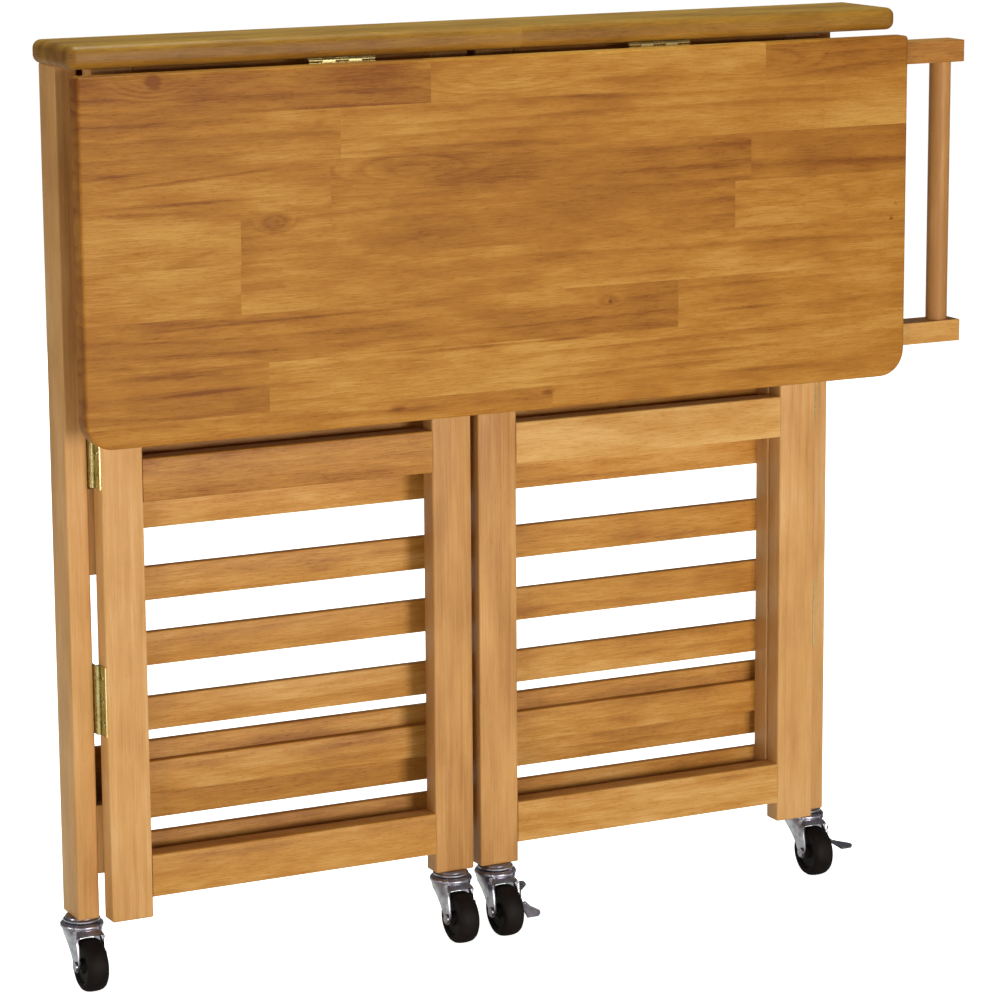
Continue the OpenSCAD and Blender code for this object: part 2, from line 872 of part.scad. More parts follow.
module right_gate_hinge_stile() {
    gate_hinge_stile();
}

module right_gate_free_stile() {
    gate_free_stile();
}

module right_gate_top_rail() {
    gate_rail(gate_z1 - timber_w);
}

module right_gate_middle_rail() {
    gate_shelf_rail(middle_rail_z);
}

module right_gate_bottom_rail() {
    gate_shelf_rail(bottom_rail_z);
}

module right_gate_ledges() {
    gate_ledges();
}

module right_gate_hinge_plates() {
    gate_hinge_plates();
}

module right_gate_screws() {
    gate_screws();
}

// Casters, drawn round their swivel axis with the wheel trailing forward

module at_left_post() {
    translate([-post_caster_x, post_caster_y, 0])
    children();
}

module at_right_post() {
    translate([post_caster_x, post_caster_y, 0])
    children();
}

module at_left_gate() {
    translate([-gate_caster_x, gate_caster_y, 0])
    children();
}

module at_right_gate() {
    translate([gate_caster_x, gate_caster_y, 0])
    children();
}

// Stem, raceway cup and the swivel pin with its riveted head
module caster_mount() {
    lip = 1.5;
    color(zinc)
    rotate_extrude()
    polygon([
        [0, crown_z0 - kingpin_head_h],
        [kingpin_r + 3, crown_z0 - kingpin_head_h],
        [kingpin_r + 3, crown_z0 - running_gap],
        [kingpin_r, crown_z0 - running_gap],
        [kingpin_r, caster_h - cup_h],
        [cup_r - lip, caster_h - cup_h],
        [cup_r, caster_h - cup_h + lip],
        [cup_r, caster_h - cup_h / 2],
        [cup_r - lip, caster_h],
        [stem_r, caster_h],
        [stem_r, caster_h + stem_l],
        [0, caster_h + stem_l]
    ]);
}

// One leg's side outline, from the crown down to the axle
module leg_outline() {
    hull() {
        translate([-crown_r + 1.5, crown_z0])
        square([2 * crown_r - 6, 3]);
        translate([-caster_trail, wheel_r])
        circle(r = leg_end_r, $fn = 32);
    }
}

// The fork of a braked caster also has a hole for its lever's pin
module caster_fork(braked) {
    rim = 2;
    color(zinc)
    difference() {
        union() {
            rotate_extrude()
            polygon([
                [0, crown_z0],
                [crown_r, crown_z0],
                [crown_r, crown_z0 + crown_h / 2],
                [crown_r - rim, crown_z1],
                [0, crown_z1]
            ]);
            for (x = [-leg_out, leg_in])
            translate([x, 0, 0])
            rotate([90, 0, 90])
            linear_extrude(leg_t)
            leg_outline();
        }
        translate([0, 0, crown_z0 - cut_over])
        cylinder(r = kingpin_r + fit, h = crown_h + 2 * cut_over);
        bar_x(-leg_out - cut_over, -caster_trail, wheel_r, axle_r + fit, 2 * (leg_out + cut_over));
        if (braked)
        bar_x(leg_in - cut_over, brake_pin_y, brake_pin_z, brake_pin_r + fit, leg_t + 2 * cut_over);
    }
}

// The axle, with a riveted head outside each leg
module caster_axle() {
    end = leg_out + running_gap;
    color(zinc) {
        bar_x(-end, -caster_trail, wheel_r, axle_r, 2 * end);
        for (x = [-end - axle_head_h, end])
        bar_x(x, -caster_trail, wheel_r, axle_head_r, axle_head_h);
    }
}

// A moulded wheel with a crowned tread and a recess in each side round its hub
module caster_wheel() {
    half = wheel_w / 2;
    crown = 5;
    shoulder = 2.5;
    hub_r = axle_r + 4;
    rim_r = wheel_r - 7;
    recess = 3;
    color(wheel_black)
    translate([0, -caster_trail, wheel_r])
    rotate([0, 90, 0])
    rotate_extrude()
    polygon([
        [axle_r + fit, -half],
        [hub_r, -half],
        [hub_r + 1, -half + recess],
        [rim_r - 1, -half + recess],
        [rim_r, -half],
        [wheel_r - crown, -half],
        [wheel_r - shoulder / 2, -half + shoulder],
        [wheel_r, -half + crown],
        [wheel_r, half - crown],
        [wheel_r - shoulder / 2, half - shoulder],
        [wheel_r - crown, half],
        [rim_r, half],
        [rim_r - 1, half - recess],
        [hub_r + 1, half - recess],
        [hub_r, half],
        [axle_r + fit, half]
    ]);
}

// One wing of a brake lever: a fan-shaped plate that stands out sideways, with a round tip
module lever_wing(l, out, tip_r) {
    inner_r = lever_w / 2;
    translate([lever_x0, 0, -wing_t / 2])
    linear_extrude(wing_t)
    hull() {
        translate([inner_r, 0])
        circle(r = inner_r);
        translate([inner_r, l - inner_r])
        circle(r = inner_r);
        translate([out - tip_r, l - tip_r])
        circle(r = tip_r);
    }
}

// A flip lever on its own pin through the fork's leg: its long wing stands at an angle below level
module brake_lever(dip) {
    color(zinc)
    translate([0, brake_pin_y, brake_pin_z])
    rotate([dip, 0, 0]) {
        bar_x(leg_in, 0, 0, brake_pin_r, lever_x0 + lever_w / 2 - leg_in);
        bar_x(lever_x0, 0, 0, lever_hub_r, lever_w);
        rotate([180, 0, 0])
        lever_wing(long_wing_l, long_wing_out, long_tip_r);
        rotate([180 - wing_spread, 0, 0])
        lever_wing(short_wing_l, short_wing_out, short_wing_out / 2);
    }
}

module left_post_caster_mount() {
    at_left_post()
    caster_mount();
}

module right_post_caster_mount() {
    at_right_post()
    caster_mount();
}

module left_gate_caster_mount() {
    at_left_gate()
    caster_mount();
}

module right_gate_caster_mount() {
    at_right_gate()
    caster_mount();
}

module left_post_caster_fork() {
    at_left_post()
    caster_fork(false);
}

module right_post_caster_fork() {
    at_right_post()
    caster_fork(true);
}

module left_gate_caster_fork() {
    at_left_gate()
    caster_fork(false);
}

module right_gate_caster_fork() {
    at_right_gate()
    caster_fork(true);
}

module left_post_caster_axle() {
    at_left_post()
    caster_axle();
}

module right_post_caster_axle() {
    at_right_post()
    caster_axle();
}

module left_gate_caster_axle() {
    at_left_gate()
    caster_axle();
}

module right_gate_caster_axle() {
    at_right_gate()
    caster_axle();
}

module left_post_caster_wheel() {
    at_left_post()
    caster_wheel();
}

module right_post_caster_wheel() {
    at_right_post()
    caster_wheel();
}

module left_gate_caster_wheel() {
    at_left_gate()
    caster_wheel();
}

module right_gate_caster_wheel() {
    at_right_gate()
    caster_wheel();
}

module right_post_brake_lever() {
    at_right_post()
    brake_lever(-lever_up);
}

module right_gate_brake_lever() {
    at_right_gate()
    brake_lever(lever_down);
}

place() top_board();
place() left_post();
place() right_post();
place() top_back_rail();
place() upper_back_rail();
place() lower_back_rail();
place() lower_shelf_battens();
place() lower_shelf_slats();
place() upper_shelf_battens();
place() upper_shelf_slats();
place() shelf_pivot_blocks();
place() shelf_pivots();
place() leaf_hinge_fixed_plates();
place() leaf_hinge_pins();
place() gate_hinge_fixed_plates();
place() gate_hinge_pins();
place() frame_screws();
place() left_post_caster_mount();
place() right_post_caster_mount();
place() drop_leaf();
place() leaf_hinge_moving_plates();
place() upper_towel_arm();
place() lower_towel_arm();
place() towel_dowel();
place() leaf_screws();
place() left_gate_hinge_stile();
place() left_gate_free_stile();
place() left_gate_top_rail();
place() left_gate_middle_rail();
place() left_gate_bottom_rail();
place() left_gate_ledges();
place() left_gate_hinge_plates();
place() left_gate_screws();
place() left_gate_caster_mount();
place() right_gate_hinge_stile();
place() right_gate_free_stile();
place() right_gate_top_rail();
place() right_gate_middle_rail();
place() right_gate_bottom_rail();
place() right_gate_ledges();
place() right_gate_hinge_plates();
place() right_gate_screws();
place() right_gate_caster_mount();
place() left_post_caster_fork();
place() left_post_caster_axle();
place() left_post_caster_wheel();
place() right_post_caster_fork();
place() right_post_caster_axle();
place() right_post_caster_wheel();
place() left_gate_caster_fork();
place() left_gate_caster_axle();
place() left_gate_caster_wheel();
place() right_gate_caster_fork();
place() right_gate_caster_axle();
place() right_gate_caster_wheel();
place() right_post_brake_lever();
place() right_gate_brake_lever();
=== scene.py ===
"""Looks of a fold-flat kitchen cart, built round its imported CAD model.

The cart is oiled beech on zinc-plated swivel casters: a narrow top board, a hanging drop leaf with a
towel rail, two gate-leg frames, two slatted shelves folded up behind them, and brass-plated hinges.
Lengths written down here are millimetres, apart from the lamps' places and sizes; Blender works in
metres. X runs along the cart, +Y to its back, +Z up.
"""

import json
import logging
import math
import random
from dataclasses import dataclass, field
from enum import Enum
from functools import cache
from typing import Any, Iterable

import bmesh
import bpy
from mathutils import Matrix, Vector

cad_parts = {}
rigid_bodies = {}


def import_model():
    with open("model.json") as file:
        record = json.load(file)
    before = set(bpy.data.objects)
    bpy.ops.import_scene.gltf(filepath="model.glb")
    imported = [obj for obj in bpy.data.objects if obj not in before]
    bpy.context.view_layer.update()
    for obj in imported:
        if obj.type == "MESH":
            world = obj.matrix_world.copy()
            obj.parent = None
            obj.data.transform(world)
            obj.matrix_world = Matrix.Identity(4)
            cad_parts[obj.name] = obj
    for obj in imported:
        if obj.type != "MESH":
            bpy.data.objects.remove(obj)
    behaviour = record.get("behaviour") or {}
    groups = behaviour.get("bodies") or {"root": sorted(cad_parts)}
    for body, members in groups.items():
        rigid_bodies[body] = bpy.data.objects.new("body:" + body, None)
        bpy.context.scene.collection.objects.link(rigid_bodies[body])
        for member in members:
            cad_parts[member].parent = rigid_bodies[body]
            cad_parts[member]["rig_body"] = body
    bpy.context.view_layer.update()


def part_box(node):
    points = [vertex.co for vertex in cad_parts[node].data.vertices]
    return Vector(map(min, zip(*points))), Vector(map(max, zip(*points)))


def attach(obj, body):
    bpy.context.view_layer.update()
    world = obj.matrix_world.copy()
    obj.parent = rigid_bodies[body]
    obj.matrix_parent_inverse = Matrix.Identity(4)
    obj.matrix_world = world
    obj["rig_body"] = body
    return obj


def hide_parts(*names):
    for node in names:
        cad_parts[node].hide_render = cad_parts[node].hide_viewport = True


LOG = logging.getLogger("kitchen_cart")
MM = 0.001
X_AXIS = Vector((1, 0, 0))
# vertices that lie nearer than this are one, in metres
JOIN = 0.002 * MM
# a vertex that lies nearer than this to a plane is on it, in metres
TOUCH = 0.01 * MM
Tree, Node, NodeSocket = bpy.types.ShaderNodeTree, bpy.types.Node, bpy.types.NodeSocket
Material, Object = bpy.types.Material, bpy.types.Object
Pair, Place, Four = tuple[float, float], tuple[float, float, float], tuple[float, float, float, float]
BMesh, BMVert, BMEdge, BMFace = bmesh.types.BMesh, bmesh.types.BMVert, bmesh.types.BMEdge, bmesh.types.BMFace


class Grain(Enum):
    """The way a board's fibres run, with the axis across its broad face."""

    ALONG_CART = (0, 2)
    ALONG_TOP = (0, 1)
    UPRIGHT = (2, 0)

    @property
    def along(self) -> int:
        """The axis that the fibres follow."""
        return self.value[0]

    @property
    def across(self) -> int:
        """The axis across the board's broad face."""
        return self.value[1]


# Small tools


def linear(code: str) -> Four:
    """Turns an sRGB hex colour to the linear colour that shaders take.

    Args:
        code: The colour as six hex digits with a leading hash.

    Returns:
        Linear red, green and blue with full alpha.
    """
    shares = [int(code[i : i + 2], 16) / 255 for i in (1, 3, 5)]
    red, green, blue = (c / 12.92 if c <= 0.04045 else ((c + 0.055) / 1.055) ** 2.4 for c in shares)
    return red, green, blue, 1.0


def add_node(tree: Tree, kind: str, inputs: dict[Any, Any] | None = None, **settings: Any) -> Node:
    """Adds a shader node with its settings, and links or sets its inputs.

    Args:
        tree: The node tree of a material or world.
        kind: The node's type name in Blender, without the leading ShaderNode.
        inputs: A value or another node's output for each input, by name or number.
        **settings: The node's own settings, such as its operation.

    Returns:
        The new node.
    """
    node = tree.nodes.new(f"ShaderNode{kind}")
    for name, value in settings.items():
        setattr(node, name, value)
    for name, value in (inputs or {}).items():
        if isinstance(value, NodeSocket):
            tree.links.new(value, node.inputs[name])
        else:
            node.inputs[name].default_value = value
    return node


def new_material(name: str) -> tuple[Material, Tree]:
    """Starts a node material.

    Args:
        name: What the real material is called.

    Returns:
        The material and its emptied tree.
    """
    material = bpy.data.materials.new(name)
    material.use_nodes = True
    material.node_tree.nodes.clear()
    return material, material.node_tree


def end_material(tree: Tree, inputs: dict[str, Any]) -> None:
    """Ends a material's tree with a Principled shader that has these inputs."""
    shader = add_node(tree, "BsdfPrincipled", inputs)
    add_node(tree, "OutputMaterial", {"Surface": shader.outputs[0]})


def add_object(name: str, data: bpy.types.ID) -> Object:
    """Adds an object to the scene.

    Args:
        name: The object's name.
        data: Its mesh, light or camera.

    Returns:
        The object.
    """
    made = bpy.data.objects.new(name, data)
    bpy.context.scene.collection.objects.link(made)
    return made


def step(tree: Tree, operation: str, *values: Any) -> NodeSocket:
    """One step of arithmetic in a material."""
    return add_node(tree, "Math", dict(enumerate(values)), operation=operation).outputs[0]


def mapped(tree: Tree, value: NodeSocket, ends: tuple[float, ...], **settings: Any) -> NodeSocket:
    """Maps a value from one range to another.

    Args:
        tree: The material's tree.
        value: The value.
        ends: The ends of the range that it comes from, and of the one that it goes to unless that is 0 to 1.
        **settings: The node's own settings, such as its interpolation.

    Returns:
        The mapped value.
    """
    names = ("From Min", "From Max", "To Min", "To Max")
    inputs = {"Value": value, **dict(zip(names, ends))}
    return add_node(tree, "MapRange", inputs, **settings).outputs[0]


# Finishes

# cells of the noises in the wood: length along and width across the grain, in millimetres
SWING_CELL, REACH_CELL, CLOUD_CELL, FLECK_CELL = (520, 60), (260, 38), (110, 28), (7, 0.9)
# fibres are a tenth of a millimetre wide; they are drawn this wide so that they show
FIBRE_WIDTH = 1.1
# how much the fibres, their clouding, the knots and the end grain darken the wood
FIBRE_SHARE, CLOUD_SHARE, KNOT_SHARE, END_SHARE = 0.7, 1.1, 0.9, 0.25
# what they come to on plain wood, so that plain wood is honey
PLAIN_SHARE = 0.49
# the place in the log, in metres, that a board numbered 1 would be cut from
LOG_STEP = (9.1, 5.3, 7.7)


@dataclass(frozen=True)
class Knot:
    """A knot, dark streak or arch of grain in a board's face.

    Attributes:
        x: Its middle along the cart, in millimetres.
        z: Its middle's height.
        half_x: Half its length.
        half_z: Half its height.
        depth: How dark its middle is, from 0 to 1.
        swirl: How many growth bands it bends round itself.
        tilt: How far it rises to the right, in degrees.
    """

    x: float
    z: float
    half_x: float
    half_z: float
    depth: float = 0.5
    swirl: float = 0.0
    tilt: float = 0.0


@dataclass(frozen=True)
class OiledBeech:
    """Planed beech, rubbed with oil: warm and satin, with soft growth lines and short flecks along the grain.

    Attributes:
        name: The finish, and the pieces that it is on.
        pale: Colour of the palest wood.
        honey: Colour of most of the wood.
        late: Colour of the dark growth lines.
        grain: The way the fibres run.
        ring: Width of one growth band on the face, in millimetres.
        figure: How far the growth bands swing sideways, in bands.
        lines: How strongly the growth lines show.
        fibre: Length of one fibre bundle, in millimetres.
        flecks: How strongly the short dark flecks show.
        gloss: How much light its oiled skin throws back.
        knots: Knots at known places.
    """

    name: str
    pale: str
    honey: str
    late: str
    grain: Grain
    ring: float = 22.0
    figure: float = 3.0
    lines: float = 0.4
    fibre: float = 24.0
    flecks: float = 0.2
    gloss: float = 0.22
    knots: tuple[Knot, ...] = ()

    def noise(self, tree: Tree, place: NodeSocket, cell: Pair, detail: float) -> NodeSocket:
        """Noise with cells that are long with the grain.

        Args:
            tree: The material's tree.
            place: Where on the wood, in metres.
            cell: A cell's length along and width across the grain, in millimetres.
            detail: How many finer noises are laid over it.

        Returns:
            A value from 0 to 1.
        """
        scale = [1 / (cell[1] * MM)] * 3
        scale[self.grain.along] = 1 / (cell[0] * MM)
        cells = add_node(tree, "Mapping", {"Vector": place, "Scale": scale}).outputs[0]
        inputs = {"Vector": cells, "Scale": 1.0, "Detail": detail, "Roughness": 0.55}
        return add_node(tree, "TexNoise", inputs).outputs[0]

    def knot_field(self, tree: Tree, place: NodeSocket) -> tuple[NodeSocket | float, NodeSocket | float]:
        """Draws the knots.

        Args:
            tree: The material's tree.
            place: Where on the cart, in metres.

        Returns:
            How dark the knots make each place, and by how many bands they bend the growth there.
        """
        dark, bent = 0.0, 0.0
        for knot in self.knots:
            inputs = {
                "Vector": place,
                "Location": (knot.x * MM, 0, knot.z * MM),
                "Rotation": (0, -math.radians(knot.tilt), 0),
                "Scale": (knot.half_x * MM, 1e3, knot.half_z * MM),
            }
            away = add_node(tree, "Mapping", inputs, vector_type="TEXTURE")
            far = add_node(tree, "VectorMath", {0: away.outputs[0]}, operation="LENGTH").outputs[1]
            if knot.depth:
                near = mapped(tree, far, (0.2, 1.0, knot.depth, 0.0), interpolation_type="SMOOTHSTEP")
                dark = step(tree, "MAXIMUM", near, dark)
            if knot.swirl:
                bent = step(tree, "ADD", mapped(tree, far, (0.0, 1.0, knot.swirl, 0.0)), bent)
        return dark, bent

    def material(self) -> Material:
        """Builds the material.

        Returns:
            The finished material. It reads each board's own number and tone from its mesh.
        """
        material, tree = new_material(self.name)
        where = add_node(tree, "TexCoord")
        board = add_node(tree, "Attribute", attribute_name="board").outputs["Fac"]
        tone = add_node(tree, "Attribute", attribute_name="tone").outputs["Fac"]
        # each board was cut from another place in the log
        shift = add_node(tree, "CombineXYZ", {0: board, 1: board, 2: board}).outputs[0]
        inputs = {0: shift, 1: LOG_STEP, 2: where.outputs["Object"]}
        log = add_node(tree, "VectorMath", inputs, operation="MULTIPLY_ADD").outputs[0]
        swing = self.noise(tree, log, SWING_CELL, 1.5)
        axes = add_node(tree, "SeparateXYZ", {0: log})
        bands = step(tree, "MULTIPLY", axes.outputs[self.grain.across], 1 / (self.ring * MM))
        phase = step(tree, "MULTIPLY_ADD", swing, self.figure, bands)
        dark, bent = self.knot_field(tree, where.outputs["Object"])
        phase = step(tree, "ADD", phase, bent)
        growth = add_node(tree, "ValToRGB", {0: step(tree, "FRACT", phase)})
        growth.color_ramp.interpolation = "B_SPLINE"
        for place, value in ((0.45, 0.1), (0.78, 0.9), (0.86, 1.0)):
            growth.color_ramp.elements.new(place).color = (value,) * 3 + (1,)
        growth.color_ramp.elements[-1].color = (0, 0, 0, 1)
        # growth lines come and go along a board
        shown = mapped(tree, self.noise(tree, log, REACH_CELL, 1), (0.35, 0.68))
        lines = step(tree, "MULTIPLY", growth.outputs[0], shown)
        fibre = self.noise(tree, log, (self.fibre, FIBRE_WIDTH), 3)
        cloud = self.noise(tree, log, CLOUD_CELL, 3)
        fleck = mapped(tree, self.noise(tree, log, FLECK_CELL, 1), (0.56, 0.74))
        normal = add_node(tree, "SeparateXYZ", {0: where.outputs["Normal"]})
        ends = step(tree, "ABSOLUTE", normal.outputs[self.grain.along])
        depth = tone
        for part, share in (
            (lines, self.lines),
            (fibre, FIBRE_SHARE),
            (cloud, CLOUD_SHARE),
            (fleck, self.flecks),
            (dark, KNOT_SHARE),
            (ends, END_SHARE),
        ):
            depth = step(tree, "MULTIPLY_ADD", part, share, depth)
        depth = step(tree, "SUBTRACT", depth, PLAIN_SHARE)
        stain = add_node(tree, "ValToRGB", {0: depth})
        stain.color_ramp.elements[0].color = linear(self.pale)
        stain.color_ramp.elements[1].color = linear(self.late)
        stain.color_ramp.elements.new(0.45).color = linear(self.honey)
        rough = step(tree, "MULTIPLY_ADD", fibre, 0.16, 0.4)
        bump = add_node(tree, "Bump", {"Strength": 0.25, "Distance": 0.15 * MM, "Height": fibre})
        made = {"Base Color": stain.outputs[0], "Roughness": rough, "Normal": bump.outputs[0]}
        end_material(tree, made | {"IOR": 1.5, "Specular IOR Level": self.gloss})
        return material


@dataclass(frozen=True)
class Skin:
    """A smooth skin: its own colour, dulled in soft patches, over a fine grain.

    Attributes:
        name: The material and how it was made.
        clean: Its own colour.
        dull: Its colour where hands, dust or wear have dulled it.
        roughness: Roughness of the clean skin.
        patch: Size of the patches, in millimetres.
        noise: Detail and roughness of the noise that lays them out.
        edges: Values of that noise where the clean colour ends and the dull one begins.
        rough: Two values of that noise, and what the roughness grows by at each.
        grit: Size of the skin's grain, in millimetres.
        relief: Strength and depth of the grain, the depth in millimetres.
        shader: Further inputs of its shader.
    """

    name: str
    clean: str
    dull: str
    roughness: float
    patch: float
    noise: Pair
    edges: Pair
    rough: Four
    grit: float
    relief: Pair
    shader: tuple[tuple[str, float], ...]

    def material(self) -> Material:
        """Builds the material.

        Returns:
            The finished material, clouded or dusty in soft patches.
        """
        material, tree = new_material(self.name)
        where = add_node(tree, "TexCoord").outputs["Object"]
        (detail, coarse), (strength, depth) = self.noise, self.relief
        layout = {"Vector": where, "Scale": 1 / (self.patch * MM), "Detail": detail, "Roughness": coarse}
        patches = add_node(tree, "TexNoise", layout).outputs[0]
        ramp = add_node(tree, "ValToRGB", {0: patches})
        for stop, value, colour in zip(ramp.color_ramp.elements, self.edges, (self.clean, self.dull)):
            stop.position, stop.color = value, linear(colour)
        rough = (*self.rough[:2], *(self.roughness + more for more in self.rough[2:]))
        grain = add_node(tree, "TexNoise", {"Vector": where, "Scale": 1 / (self.grit * MM), "Detail": 2.0})
        bump = {"Height": grain.outputs[0], "Strength": strength, "Distance": depth * MM}
        made = {"Base Color": ramp.outputs[0], "Roughness": mapped(tree, patches, rough)}
        made["Normal"] = add_node(tree, "Bump", bump).outputs[0]
        end_material(tree, made | dict(self.shader))
        return material


@dataclass(frozen=True)
class PlatedSteel(Skin):
    """Pressed steel with a bright plating: mirror-like, and clouded a little where hands went."""

    patch: float = 7.0
    noise: Pair = (4.0, 0.6)
    edges: Pair = (0.35, 0.7)
    rough: Four = (0.3, 0.75, 0.0, 0.14)
    grit: float = 0.6
    relief: Pair = (0.05, 0.05)
    shader: tuple[tuple[str, float], ...] = (("Metallic", 1.0),)


@dataclass(frozen=True)
class Moulded(Skin):
    """Moulded rubber or plastic: even and dark, with a fine spark-eroded skin and a dusty bloom."""

    patch: float = 8.0
    noise: Pair = (5.0, 0.5)
    edges: Pair = (0.4, 0.72)
    rough: Four = (0.0, 1.0, -0.08, 0.12)
    grit: float = 0.9
    relief: Pair = (0.3, 0.08)
    shader: tuple[tuple[str, float], ...] = (("IOR", 1.52), ("Specular IOR Level", 0.15))


Finish = OiledBeech | Skin


@cache
def material_of(finish: Finish) -> Material:
    """The material of a finish, built the first time that it is asked for."""
    return finish.material()


UPRIGHT_WOOD = OiledBeech(
    "oiled beech, uprights", "#d6aa7a", "#c69359", "#a5723e", Grain.UPRIGHT, 11.0, 2.0, 0.2, 60.0, 0.1
)
RAIL_WOOD = OiledBeech(
    "oiled beech, rails", "#cfa262", "#b77f38", "#824716", Grain.ALONG_CART, ring=16.0, figure=2.5, lines=0.22
)
# the top board's colours are partly painted light: their olive tint is a painted greenish sheen of the top
# face, and their darkness is painted shade set against the overhead lamp
TOP_WOOD = OiledBeech("oiled beech, top board", "#b0863a", "#946822", "#6a4213", Grain.ALONG_TOP, lines=0.25)
# each row gives a Knot's values, in their order
LEAF_KNOTS = (
    (-409, 880, 11, 9, 0.6), (-409, 884, 46, 22, 0.0, 4.0), (-290, 742, 24, 13, 0.3, 2.0),
    (-196, 860, 12, 1.6, 0.45), (64, 644, 3.4, 3.2, 0.8), (62, 644, 18, 9, 0.16, 1.5),
    (386, 705, 3.2, 2.8, 0.6), (391, 720, 2.2, 2, 0.5), (-5, 560, 10, 4, 0.4), (-166, 558, 12, 5, 0.4),
    (-243, 835, 9, 5, 0.2), (-55, 866, 88, 17, 0.0, 3.0), (215, 867, 100, 16, 0.0, 3.0),
    (-150, 783, 90, 19, 0.0, 3.0), (-90, 610.5, 130, 2.4, 0.4), (10, 611, 45, 2.8, 0.55, 0.0, 0.5),
    (-280, 652.5, 220, 2.0, 0.3, 0.0, 0.9), (215, 626.5, 62, 3, 0.4, 0.0, 0.8),
    (-445, 796, 50, 2.2, 0.3, 0.0, 3.5), (-373, 788.5, 118, 2.4, 0.36, 0.0, 4.0),
    (-380, 767, 115, 2.6, 0.36, 0.0, 0.5), (-425, 759, 70, 3, 0.3, 0.0, -1.0),
    (-393, 608, 100, 4, 0.26, 0.0, 0.4), (-360, 589.5, 66, 3.4, 0.34, 0.0, 1.5),
)
LEAF_WOOD = OiledBeech(
    "oiled beech, drop leaf",
    "#c2924a",
    "#a76f2a",
    "#7a4416",
    Grain.ALONG_CART,
    ring=15.0,
    lines=0.34,
    gloss=0.1,
    knots=tuple(Knot(*row) for row in LEAF_KNOTS),
)
ZINC = PlatedSteel("zinc-plated pressed steel", "#bdb9c4", "#8f8b98", 0.26)
# a darker copy of the zinc for the right gate's brake lever: its darkness is painted shade, since both brake
# levers are the same plated steel
SHADED_LEVER_ZINC = PlatedSteel("zinc-plated lever steel, darkened as painted shade", "#626068", "#4a484f", 0.42)
BRASS = PlatedSteel("brass-plated steel", "#cfc392", "#ab9c62", 0.22, 9.0)
TYRE = Moulded("moulded rubber tyre", "#100a09", "#1b1312", 0.6)
NYLON = (("IOR", 1.53), ("Specular IOR Level", 0.15))
HUB = Moulded("moulded nylon hub", "#141011", "#1f1a1a", 0.5, grit=1.4, shader=NYLON)


# Building pieces


@dataclass
class Solid:
    """The box of one solid of a CAD node, in metres."""

    low: Vector
    high: Vector

    @property
    def size(self) -> Vector:
        """Width, depth and height."""
        return self.high - self.low

    @property
    def middle(self) -> Vector:
        """The box's middle."""
        return (self.low + self.high) / 2


def merged(node: str) -> BMesh:
    """Copies a CAD node's mesh and joins its loose triangles.

    Args:
        node: The node's name.

    Returns:
        The copy.
    """
    mesh = bmesh.new()
    mesh.from_mesh(bpy.data.objects[node].data)
    bmesh.ops.remove_doubles(mesh, verts=mesh.verts, dist=JOIN)
    return mesh


def islands(mesh: BMesh) -> list[list[BMVert]]:
    """Finds the separate solids of a mesh.

    Args:
        mesh: A mesh whose triangles are joined.

    Returns:
        The vertices of each solid, lowest solid first, then from left to right and front to back.
    """
    left, found = set(mesh.verts), []
    while left:
        edge = [left.pop()]
        island = list(edge)
        while edge:
            near = {e.other_vert(v) for v in edge for e in v.link_edges} & left
            left -= near
            edge = list(near)
            island += edge
        found.append(island)
    return sorted(found, key=lambda vs: [round(min(v.co[i] for v in vs), 4) for i in (2, 0, 1)])


def box_of(verts: Iterable[BMVert]) -> Solid:
    """Measures the box round some vertices.

    Args:
        verts: The vertices.

    Returns:
        The box.
    """
    places = [v.co for v in verts]
    corners = [Vector([pick(p[i] for p in places) for i in range(3)]) for pick in (min, max)]
    return Solid(*corners)


def solids_of(node: str) -> list[Solid]:
    """Measures the solids of a CAD node.

    Args:
        node: The node's name.

    Returns:
        Their boxes, in the order of islands().
    """
    mesh = merged(node)
    found = [box_of(vs) for vs in islands(mesh)]
    mesh.free()
    return found


def outline(mesh: BMesh, corners: list[Vector], filled: bool = False) -> list[BMVert]:
    """Adds a closed outline.

    Args:
        mesh: The mesh to add to.
        corners: The outline's corners in their order, in metres.
        filled: Whether a face fills it.

    Returns:
        Its vertices, in the same order.
    """
    verts = bmesh.ops.create_circle(mesh, cap_ends=filled, segments=len(corners), radius=MM)["verts"]
    for vert, corner in zip(verts, corners):
        vert.co = corner
    return verts


def ease_edges(mesh: BMesh, edges: list[BMEdge], ease: float) -> None:
    """Rounds edges to a radius in millimetres."""
    bmesh.ops.bevel(
        mesh,
        geom=edges,
        offset=ease * MM,
        offset_type="OFFSET",
        affect="EDGES",
        segments=3,
        profile=0.5,
        material=-1,
        clamp_overlap=True,
    )


